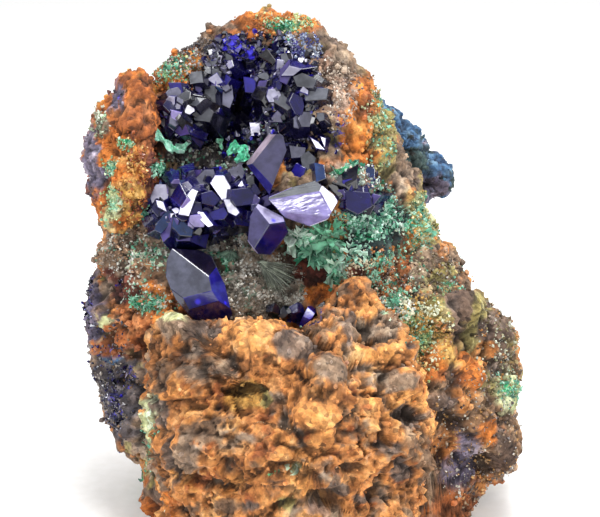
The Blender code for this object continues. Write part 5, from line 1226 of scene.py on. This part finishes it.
def rock_finish(name, pit_shade):
    """Earthy rock: its stored ground colour, specks, painted shade darkening its creases and lighter crests, and
    mineral coats with ragged edges.
    """
    finish = Finish(name)
    coats = finish.parts(finish.stored("coats"))
    wear = finish.parts(finish.stored("wear"))
    fine = finish.noise(0.9, 8.0, 0.7)
    grains = finish.cells(0.42)
    speck = finish.parts(finish.cells(0.5, output="Color"))
    ground = finish.stored("ground")
    ground = finish.mixed(1.0, ground, finish.grey(finish.between(fine, 0.25, 0.75, 0.5, 1.4)), "MULTIPLY")
    ground = finish.mixed(1.0, ground, finish.grey(finish.between(speck[0], 0.0, 1.0, 0.7, 1.25)), "MULTIPLY")
    dark_speck = finish.between(speck[1], 0.86, 0.95)
    ground = finish.mixed(finish.sum("MULTIPLY", dark_speck, 0.55), ground, (0.02, 0.012, 0.01, 1))
    ragged = finish.sum("SUBTRACT", finish.noise(1.3, 8.0, 0.75, 0.4), 0.5)
    ragged = finish.sum("MULTIPLY", ragged, 2.6)
    other = finish.sum("MULTIPLY", finish.sum("SUBTRACT", finish.noise(1.0, 8.0, 0.75, 0.8), 0.5), 2.4)
    blue = finish.between(finish.sum("ADD", coats[1], ragged), 0.5, 0.62)
    green = finish.between(finish.sum("ADD", coats[0], other), 0.52, 0.66)
    light = finish.between(finish.sum("ADD", coats[2], finish.sum("SUBTRACT", speck[2], 1.0)), 0.42, 0.5)
    colour = finish.mixed(blue, ground, azurite_colour(finish))
    colour = finish.mixed(green, colour, malachite_colour(finish))
    pale = finish.ramp(finish.noise(0.6, 3.0), (0.35, (150, 190, 150)), (0.6, (226, 240, 214)), (0.7, (250, 252, 244)))
    colour = finish.mixed(light, colour, pale)
    # Painted shade: creases and hollows are darkened toward near-black by the crevice share times pit_shade; crests are
    # made lighter and tanner.
    colour = finish.mixed(finish.sum("MULTIPLY", wear[0], pit_shade), colour, (0.012, 0.008, 0.006, 1))
    colour = finish.mixed(finish.sum("MULTIPLY", wear[1], 0.35), colour, (0.9, 0.72, 0.5, 1), "SOFT_LIGHT")
    height = finish.sum("ADD", finish.sum("MULTIPLY", fine, 1.0), finish.sum("MULTIPLY", grains, -0.5))
    normal = finish.bumped(height, 0.22, 0.9)
    normal = finish.bumped(finish.noise(0.22, 3.0, 0.6), 0.05, 0.7, normal)
    dull = finish.between(finish.noise(0.8, 4.0), 0.3, 0.7, 0.68, 0.96)
    rough_blue = finish.sum("MULTIPLY", blue, 0.5)
    rough_light = finish.sum("MULTIPLY", light, 0.35)
    roughness = finish.sum("SUBTRACT", finish.sum("SUBTRACT", dull, rough_blue), rough_light)
    return finish.done(colour, roughness, normal, Specular_IOR_Level=0.35)


def azurite_finish(name, striped):
    """Glassy dark blue: each face's stored tone (its own colour, and on the pale faces painted reflections and glints),
    painted spots of blue light shining through, cloudy depth, faint growth stripes and a soft polish.
    """
    finish = Finish(name)
    tint = finish.stored("tint")
    cloud = finish.between(finish.noise(1.6, 4.0, 0.6), 0.3, 0.7, 0.65, 1.45)
    colour = finish.mixed(1.0, tint, finish.grey(cloud), "MULTIPLY")
    # Painted light: a vivid blue spot round each listed place, where light shines through the crystal
    for right, up, toward, radius in PAINTED_FLASHES:
        spot = tuple(seen(right, up, toward) * MM)
        away = finish.node("ShaderNodeVectorMath", {0: finish.place, 1: spot}, operation="DISTANCE").outputs["Value"]
        painted_flash = finish.between(away, 0.3 * radius * MM, radius * MM, 1.0, 0.0)
        colour = finish.mixed(painted_flash, colour, (0.03, 0.02, 0.75, 1))
    stripes = finish.noise(1.0, 3.0, 0.6, 0.0, finish.stretched((0.4, 0.9, 0.3), (0.25, 3.2, 0.6)))
    hills = finish.noise(1.4, 3.0, 0.5)
    height = finish.sum("ADD", finish.sum("MULTIPLY", stripes, striped), finish.sum("MULTIPLY", hills, 0.6))
    normal = finish.bumped(height, 0.06, 0.5)
    polish = finish.between(finish.noise(0.9, 5.0, 0.7), 0.35, 0.75, 0.07, 0.26)
    return finish.done(colour, polish, normal, IOR=1.78, Specular_IOR_Level=0.5)


def malachite_finish(name):
    """Silky green fibres: a tone for each fibre, cloudy, with a soft sheen along them."""
    finish = Finish(name)
    cloud = finish.between(finish.noise(0.8, 4.0, 0.6), 0.3, 0.7, 0.6, 1.3)
    colour = finish.mixed(1.0, finish.stored("tint"), finish.grey(cloud), "MULTIPLY")
    normal = finish.bumped(finish.noise(0.3, 4.0, 0.6), 0.05, 0.6)
    polish = finish.between(finish.noise(0.6, 3.0), 0.3, 0.7, 0.28, 0.5)
    return finish.done(colour, polish, normal, Sheen_Weight=0.25, Specular_IOR_Level=0.6)


def crumb_finish(name):
    """Loose earthy grains in the colour of the ground that each lies on."""
    finish = Finish(name)
    cloud = finish.between(finish.noise(0.35, 4.0, 0.7), 0.3, 0.7, 0.6, 1.35)
    colour = finish.mixed(1.0, finish.stored("tint"), finish.grey(cloud), "MULTIPLY")
    normal = finish.bumped(finish.noise(0.2, 3.0, 0.6), 0.05, 0.8)
    return finish.done(colour, finish.between(finish.noise(0.5, 2.0), 0.3, 0.7, 0.7, 0.95), normal)


def sparkle_finish(name):
    """Clear pale crusts: tiny glassy plates, slightly cloudy."""
    finish = Finish(name)
    cloud = finish.between(finish.noise(0.5, 3.0, 0.6), 0.3, 0.7, 0.75, 1.1)
    colour = finish.mixed(1.0, finish.stored("tint"), finish.grey(cloud), "MULTIPLY")
    normal = finish.bumped(finish.noise(0.25, 2.0), 0.03, 0.5)
    return finish.done(colour, finish.between(finish.noise(0.4, 2.0), 0.3, 0.7, 0.1, 0.3), normal, IOR=1.6)


def places_share(rows, right, up):
    """How far inside any ellipse of a table each point lies, from 0 to 1."""
    return np.clip(np.max([inside(right, up, row) for row in rows], axis=0) * 1.6, 0, 1)


def blue_of(right, up, rng):
    """A base colour for each crystal: near-black, deep blue, violet blue or grey, by the place it grows in. The grey is
    a painted reflection of the white room; the others are the crystal's own colour.
    """
    tones = np.array([daylight(tone) for tone in ((7, 6, 22), (16, 13, 62), (40, 33, 150), (72, 70, 92))])
    vivid, grey = places_share(VIVID_PLACES, right, up), places_share(GREY_PLACES, right, up)
    chance = np.stack([0.42 - 0.2 * vivid, 0.34 - 0.1 * grey, 0.06 + 0.34 * vivid, 0.16 + 0.34 * grey], axis=-1)
    limits = np.cumsum(chance / chance.sum(axis=-1, keepdims=True), axis=-1)
    return tones[(rng.random(limits.shape[:-1])[..., None] > limits).sum(axis=-1).clip(0, 3)]


def azurite_tones(right, up, rng):
    """Face colours of one crystal: its base colour, each face a little apart from the next."""
    base = blue_of(np.float64(right), np.float64(up), rng)
    return [base * rng.uniform(0.4, 1.9) for _ in range(9)]


def crystal_colours(form, picked, faces, rng):
    """Face colours for small azurite crystals sown on a form: varied by face, and a few faces painted pale as glints.
    """
    own = blue_of(form.right[picked], form.up[picked], rng)
    own = own[:, None] * rng.uniform(0.4, 2.0, (len(picked), faces, 1))
    # Painted glints: a few faces get a pale violet-white tone in place of a reflection of the lamps.
    pale = rng.random((len(picked), faces)) < PAINTED_GLINT_FACES
    own[pale] = daylight((168, 164, 190))
    return own.reshape(-1, 3)


def ground_colours(form, picked, faces, rng):
    """Face colours for crumbs: the ground's own colour under each, a little lighter or darker."""
    own = form.ground[picked] * rng.uniform(0.6, 1.5, (len(picked), 1))
    return np.repeat(own, faces, axis=0)


def green_colours(form, picked, faces, rng):
    """Face colours for malachite fibres: from dark emerald to pale mint."""
    greens = np.array([daylight(tone) for tone in ((20, 70, 54), (40, 128, 98), (116, 190, 158), (204, 236, 218))])
    share = rng.beta(1.6, 1.5, len(picked)) * 2.999
    low = share.astype(int)
    own = greens[low] + (greens[low + 1] - greens[low]) * (share - low)[:, None]
    return np.repeat(own, faces, axis=0)


def picked_colours(tones):
    """A way to colour small things: patches about a millimetre wide share a tone, each a little apart."""
    palette = daylight(tones)

    def colours(form, picked, faces, rng):
        _, owner, _, _ = nearest_cells(form.points[picked] + rng.normal(0, 0.15, (len(picked), 3)), 1.1, 401)
        kind = (stirred(owner, 409) * len(palette)).astype(int)
        own = palette[kind] * rng.uniform(0.65, 1.2, (len(picked), 1))
        return np.repeat(own, faces, axis=0)

    return colours


def flake_spray(name, middle, reach, count, size, greens, material):
    """A knot of crumpled flakes: each grows out of the rock near the middle, leaning outwards from it."""
    rng = np.random.default_rng(count)
    aside = rng.normal(0, 0.5, (count, 3)).clip(-1, 1) * reach
    right, up = middle[0] + aside[:, 0], middle[1] + aside[:, 1]
    places = seen(right, up, front_toward(right, up) + middle[2] + aside[:, 2])
    lean = np.stack([aside[:, 0] / reach[0], aside[:, 1] / reach[1], np.full(count, 0.8)], axis=1)
    axes = np.array([turned(way) for way in lean + rng.normal(0, 0.5, (count, 3))])
    sizes = rng.uniform(*size, count)
    shapes = flake_shapes(count + 1)
    spins = rng.uniform(0, 2 * math.pi, count)
    shades = daylight(greens)
    parts = []
    for number, shape in enumerate(shapes):
        those = np.arange(count) % len(shapes) == number
        own = shades[0] + (shades[1] - shades[0]) * rng.random((those.sum(), 1))
        own = np.repeat(own * rng.uniform(0.6, 1.4, (those.sum(), 1)), len(shape[1]), axis=0)
        parts.append((*placed(shape, places[those], axes[those], spins[those], sizes[those], (0.9, 0.9, 1)), own))
    points, faces, tints = heap(parts)
    return mesh_piece(name, points, faces, material, colours=tints)


def fibre_fan(name, root, way, length, width, count, spread, greens, material):
    """Fine fibres that fan out of one root: angles spread in the fan's plane, and a little out of it."""
    rng = np.random.default_rng(count)
    right, up, lift = root
    origin = seen(right, up, front_toward(right, up) + lift)
    way = turned(way)
    across = np.cross(way, turned((0.0, 0.0, 1.0)))
    across /= np.linalg.norm(across)
    over = np.cross(across, way)
    swing = np.radians(spread) * rng.uniform(-0.5, 0.5, count)
    lean = rng.normal(0, 0.07, count)
    axes = way * np.cos(swing)[:, None] + across * np.sin(swing)[:, None] + over * lean[:, None]
    sizes = length * rng.uniform(0.5, 1.05, count) * (1 - 0.25 * abs(np.sin(swing)))
    places = origin + axes * rng.uniform(0, 0.35, (count, 1)) * length + rng.normal(0, 0.12, (count, 3))
    thick = width / length
    made = placed(NEEDLE, places, axes, rng.uniform(0, math.pi, count), sizes * 0.7, (thick, thick, 1))
    shades = daylight(greens)
    own = shades[0] + (shades[1] - shades[0]) * rng.random((count, 1)) ** 1.6
    return mesh_piece(name, made[0], made[1], material, colours=np.repeat(own, len(NEEDLE[1]), axis=0))


def folded_ribbon(name, path, width, greens, material, steps=64, columns=6):
    """A folded ribbon of malachite along a path over the rock, as one closed strip.

    Across it u runs from -1 to 1 and along it s from 0 to 1: side = width * u * (0.6 + 0.4 sin(9 pi s)) / 2, and
    height = 0.28 sin(2.5 pi u + 14 s) + 0.2 sin(31 s), with the same strip 0.2 mm behind for its back.
    """
    knots = np.array([seen(right, up, front_toward(right, up) + lift) for right, up, lift in path])
    walk = np.linspace(0, 1, len(knots))
    s, u = np.meshgrid(np.linspace(0, 1, steps + 1), np.linspace(-1, 1, columns + 1), indexing="ij")
    middle = np.stack([np.interp(s, walk, knots[:, axis]) for axis in range(3)], axis=-1)
    way = np.gradient(middle, axis=0)
    out = turned((0, 0.3, 1))
    aside = np.cross(way, out)
    aside /= np.linalg.norm(aside, axis=-1, keepdims=True)
    taper = np.minimum(1, 6 * np.minimum(s, 1 - s)) * 0.9 + 0.1
    side = width * u * (0.7 + 0.3 * np.sin(9 * math.pi * s)) * taper
    height = (0.28 * np.sin(2.5 * math.pi * u + 14 * s) + 0.2 * np.sin(31 * s)) * taper
    front = (middle + aside * side[..., None] + out * height[..., None]).reshape(-1, 3)
    back = front - out * 0.2
    grid = np.arange(len(front)).reshape(steps + 1, columns + 1)
    quads = np.stack([grid[:-1, :-1], grid[1:, :-1], grid[1:, 1:], grid[:-1, 1:]], axis=-1).reshape(-1, 4)
    rim = np.concatenate([grid[:-1, 0], grid[-1, :-1], grid[:0:-1, -1], grid[0, :0:-1]])
    after = np.roll(rim, -1)
    band = np.stack([after, rim, rim + len(front), after + len(front)], axis=-1)
    quads = np.concatenate([quads, quads[:, ::-1] + len(front), band])
    shades = daylight(greens)
    rng = np.random.default_rng(steps)
    own = shades[0] + (shades[1] - shades[0]) * rng.random((len(quads), 1))
    return mesh_piece(name, np.concatenate([front, back]), quads, material, colours=own)


def rock_piece(name, form, zones, plain, elsewhere, material, *nodes):
    """Writes one form of the rock with its ground colours, mineral coats, and painted shade in its creases with lighter
    crests, in place of CAD nodes.
    """
    form.ground = ground_of(form, zones, plain)
    coats = [
        coat_of(form, table, salt, elsewhere)
        for table, salt in ((MALACHITE_ZONES, 301), (AZURITE_ZONES, 331), (PALE_ZONES, 361))
    ]
    form.coats = np.stack(coats, axis=1)
    # Painted shade: points lying below the average of their neighbours, in creases and hollows, get a crevice share
    # that darkens them; points above it, on crests, get a share that lightens them.
    level = form.detail + form.height
    stands = level - evened(level, form.faces, CREVICE_STEPS)
    stands = stands + 0.35 * (level - evened(level, form.faces, 6 * CREVICE_STEPS))
    crevices, crests = np.clip(-3.2 * stands - 0.2, 0, 1), np.clip(3.4 * stands - 0.1, 0, 1)
    form.wear = np.stack([crevices, crests, np.zeros_like(crests)], axis=1)
    piece = mesh_piece(
        name, form.points, form.faces, material, True, ground=form.ground, coats=form.coats, wear=form.wear,
    )
    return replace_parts(piece, *nodes)


def crystal_piece(name, node, by_hand, tones, plates, by_habit, material, sink=0.0, edge=0.05, strewn=None):
    """One group of azurite crystals: listed face by face with their stored tones, by the face that they show, and by
    habit. The pale and grey tones are painted reflections and glints.
    """
    rng = np.random.default_rng(len(by_habit) + 7)
    solids, listed = [], len(plates)
    plates = plates + throng(*THRONGS[strewn]) if strewn else plates
    for number, (kind, lift, depth, outline) in enumerate(plates):
        facing, tone, sides = KINDS[kind]
        facing = np.array(facing) + rng.normal(0, 0.02 if number < listed else 0.14, 3)
        own = [daylight(tone) * rng.uniform(0.75, 1.3)]
        own += [daylight(sides) * rng.uniform(0.4, 2.2) for _ in range(len(outline) + 1)]
        solids.append((plate_faces(outline, facing, lift, depth), own))
    for faces, own in zip(by_hand, tones):
        solids.append((shown_faces(faces), [daylight(tone) for tone in own]))
    for faces, row in zip(habit_crystals(by_habit, sink), by_habit):
        solids.append((faces, azurite_tones(row[0], row[1], rng)))
    points, polygons, tints = gathered(solids)
    piece = bevelled(mesh_piece(name, points, polygons, material, colours=tints), edge)
    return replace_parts(piece, node)


def softbox(name, direction, distance, size, power, colour=(1.0, 1.0, 1.0)):
    """A square soft light that looks at the specimen's middle from a direction of the view."""
    lamp = bpy.data.lights.new(name, "AREA")
    lamp.shape = "SQUARE"
    lamp.size = size
    lamp.energy = power
    lamp.color = colour
    light = bpy.data.objects.new(name, lamp)
    way = turned(direction)
    light.location = np.array(VIEW_MIDDLE) * MM + way * distance
    light.rotation_mode = "QUATERNION"
    light.rotation_quaternion = Vector(way).to_track_quat("Z", "Y")
    bpy.context.scene.collection.objects.link(light)


def studio():
    """A pale floor, white surroundings, soft lights, and the camera at the photograph's angle."""
    world = bpy.data.worlds.new("white_room")
    world.use_nodes = True
    world.node_tree.nodes["Background"].inputs[0].default_value = (1, 1, 1, 1)
    world.node_tree.nodes["Background"].inputs[1].default_value = ROOM_LIGHT
    bpy.context.scene.world = world
    bpy.ops.mesh.primitive_plane_add(size=FLOOR_SIZE)
    floor = bpy.context.object
    floor.name = "floor"
    paper = Finish("white_paper")
    grain = paper.noise(1.5, 3.0)
    shade = paper.ramp(grain, (0.3, (243, 243, 242)), (0.7, (250, 250, 250)))
    floor.data.materials.append(paper.done(shade, 0.9))
    for row in SOFTBOXES:
        softbox(*row)
    lens = bpy.data.cameras.new("photo_camera")
    camera = bpy.data.objects.new("photo_camera", lens)
    back = np.array([0.0, -math.cos(VIEW_TILT), math.sin(VIEW_TILT)])
    camera.location = (np.array(VIEW_MIDDLE) + back * VIEW_REACH) * MM
    camera.rotation_euler = (math.pi / 2 - VIEW_TILT, 0, 0)
    lens.sensor_width = 36.0
    lens.lens = 36.0 * VIEW_REACH / VIEW_WIDTH
    lens.clip_start = 0.01
    lens.clip_end = 10.0
    bpy.context.scene.collection.objects.link(camera)
    bpy.context.scene.camera = camera
    bpy.context.scene.view_settings.view_transform = "Standard"


def rock_pieces():
    """The rock's forms and the nodule behind it, then what is sown over them."""
    body = Form(
        BODY_CELLS, BODY_OUTLINE, BODY_CENTRE, BODY_FRONT, BODY_SPOT_REACH, BODY_BACK, BODY_BACK_REACH,
        BODY_BOXINESS, BODY_FEATURES, body_texture,
    )
    block = Form(
        BLOCK_CELLS, BLOCK_OUTLINE, BLOCK_CENTRE, BLOCK_FRONT, BLOCK_SPOT_REACH, BLOCK_BACK, SMALL_BACK_REACH,
        BLOCK_BOXINESS, BLOCK_FEATURES, block_texture,
    )
    wall = Form(
        WALL_CELLS, WALL_OUTLINE, WALL_CENTRE, WALL_FRONT, WALL_SPOT_REACH, WALL_BACK, SMALL_BACK_REACH,
        BLOCK_BOXINESS, [], knobby_texture,
    )
    nodule = Form(
        NODULE_CELLS, NODULE_OUTLINE, NODULE_CENTRE, NODULE_FRONT, NODULE_SPOT_REACH, NODULE_BACK, SMALL_BACK_REACH,
        NODULE_BOXINESS, [], knobby_texture,
    )
    stone = rock_finish("limonite_rock", 0.75)
    rock_piece("rock_body", body, BODY_ZONES, BODY_PLAIN, 1.0, stone, "limonite_matrix")
    rock_piece("rock_block", block, BLOCK_ZONES, BLOCK_PLAIN, 0.3, stone, "limonite_matrix")
    rock_piece("rock_wall", wall, WALL_ZONES, WALL_PLAIN, 0.3, stone, "limonite_matrix")
    rock_piece("back_nodule", nodule, NODULE_ZONES, NODULE_PLAIN, 0.6, stone,
               "azurite_back_nodule")
    return body, block, wall, nodule


def sown_piece(name, parts, material):
    """Writes what was sown as one piece."""
    points, faces, tints = heap(parts)
    points[:, 2] = np.maximum(points[:, 2], 0.02)
    mesh_piece(name, points, faces, material, colours=tints)


def sown_pieces(body, block, wall, nodule, azurite, malachite, crumb, sparkle):
    """Small crystals, fibres, crumbs and grains over the rock."""
    shapes, pebbles, grains = crystal_shapes(), pebble_shapes(5), grain_shapes(6)
    front = body.front > 0.5
    black = np.clip(2 * inside(body.right, body.up, HOLLOW_PLACE), 0, 1)
    vug = np.max([inside(body.right, body.up, row) for row in VUG_PLACES], axis=0)
    hollow = np.clip(2.2 * vug + 0.2, 0, 1) * front * (1 - black)
    shelf = np.clip(1.6 * inside(body.right, body.up, SHELF_PLACE) + 0.2, 0, 1) * front
    lining = sprinkled(body, hollow, 3000, 11, shapes, (0.2, 1.1), 0.5, 0.05, crystal_colours)
    lining += sprinkled(body, shelf, 1100, 10, shapes, (0.3, 1.1), 0.5, 0.0, crystal_colours)
    coated = body.coats[:, 1] ** 2 * (1 - np.maximum(hollow, shelf)) * (1 - black)
    lining += sprinkled(body, coated, 1500, 12, shapes, (0.12, 0.42), 0.5, 0.1, crystal_colours)
    sown_piece("lining_crystals", lining, azurite)
    slim = (0.12, 0.12, 1)
    tufts = sprinkled(body, body.coats[:, 0] ** 3, 2600, 13, [NEEDLE], (0.3, 1.0), 1.0, 0.1, green_colours, slim)
    tufts += sprinkled(body, body.coats[:, 0] ** 3, 1500, 14, flake_shapes(3), (0.2, 0.7), 0.9, 0.2, green_colours)
    sown_piece("malachite_needles", tufts, malachite)
    clumps = sprinkled(body, body.coats[:, 0], 4000, 16, grains, (0.15, 0.5), 0.9, 0.1, green_colours)
    for form, count, seed in ((block, 120, 15), (wall, 700, 17), (nodule, 120, 18)):
        weight = form.coats[:, 0] ** 2 + 1e-9
        clumps += sprinkled(form, weight, count, seed, grains, (0.15, 0.45), 0.9, 0.1, green_colours)
    sown_piece("malachite_grains", clumps, malachite)
    crumbs = sprinkled(body, 1 - np.maximum(hollow, black), 2600, 19, pebbles, (0.1, 0.45), 0.6, 0.2, ground_colours)
    for form, count, seed in ((block, 1300, 21), (wall, 500, 23), (nodule, 260, 25)):
        even = np.ones(len(form.points))
        crumbs += sprinkled(form, even, count, seed, pebbles, (0.08, 0.34), 0.6, 0.3, ground_colours)
    sown_piece("limonite_crumbs", crumbs, crumb)
    mixed = []
    rows = [(body, row) for row in GRAINS] + [(wall, row) for row in WALL_GRAINS]
    for number, (form, (*place, count, tones)) in enumerate(rows):
        spread = np.clip(inside(form.right, form.up, place), 0, 1) ** 0.5 * (form.front > 0.5) * open_of(form)
        mixed += sprinkled(form, spread, count, 31 + number, grains, (0.14, 0.5), 0.9, 0.0, picked_colours(tones))
    sown_piece("mixed_grains", mixed, sparkle)


def open_of(form):
    """Where a form lies open to grains: everywhere but in the black hollow."""
    return inside(form.right, form.up, HOLLOW_PLACE) < 0


def main():
    azurite, streaked = azurite_finish("azurite_crystal", 0.5), azurite_finish("streaked_azurite", 1.6)
    striped = azurite_finish("striped_azurite", 4.0)
    malachite = malachite_finish("malachite_fibre")
    forms = rock_pieces()
    crystal_piece("large_crystal", "azurite_large_crystal", [LARGE_CRYSTAL], [LARGE_TONES], [], [], azurite, edge=0.1)
    crystal_piece("upright_blade", "azurite_cluster", [UPRIGHT_BLADE], [BLADE_TONES], [], [], azurite, edge=0.08)
    crystal_piece("bright_crystal", "azurite_cluster", [BRIGHT_CRYSTAL], [BRIGHT_TONES], [], [], striped, edge=0.08)
    crystal_piece("wedge_crystal", "azurite_cluster", [WEDGE_CRYSTAL], [WEDGE_TONES], [], [], azurite, edge=0.08)
    crystal_piece("shelf_crystals", "azurite_cluster", [], [], CLUSTER_PLATES, CLUSTER_CRYSTALS, streaked, 1.8,
                  strewn="shelf")
    crystal_piece("right_crystals", "azurite_right_crystals", [], [], RIGHT_PLATES, RIGHT_CRYSTALS, azurite, 1.2,
                  strewn="right")
    crystal_piece("seam_crystals", "azurite_seam", [], [], [], SEAM_CRYSTALS, azurite, 0.3)
    crystal_piece("vug_crystals", "azurite_vug_crust", [], [], VUG_PLATES, CRUST_CRYSTALS, azurite, 2.2, strewn="vug")
    for table, make in ((SPRAYS, flake_spray), (FANS, fibre_fan)):
        for node, shape in table.items():
            piece = make(node.replace("malachite", "green"), *shape, malachite)
            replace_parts(piece, node)
    for name, shape in RIBBONS.items():
        piece = folded_ribbon(name, *shape, malachite)
        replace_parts(piece, "malachite_ribbon" if name == "green_ribbon" else "malachite_tuft")
    sown_pieces(*forms, azurite, malachite, crumb_finish("limonite_crumb"), sparkle_finish("grown_grain"))
    studio()


main()
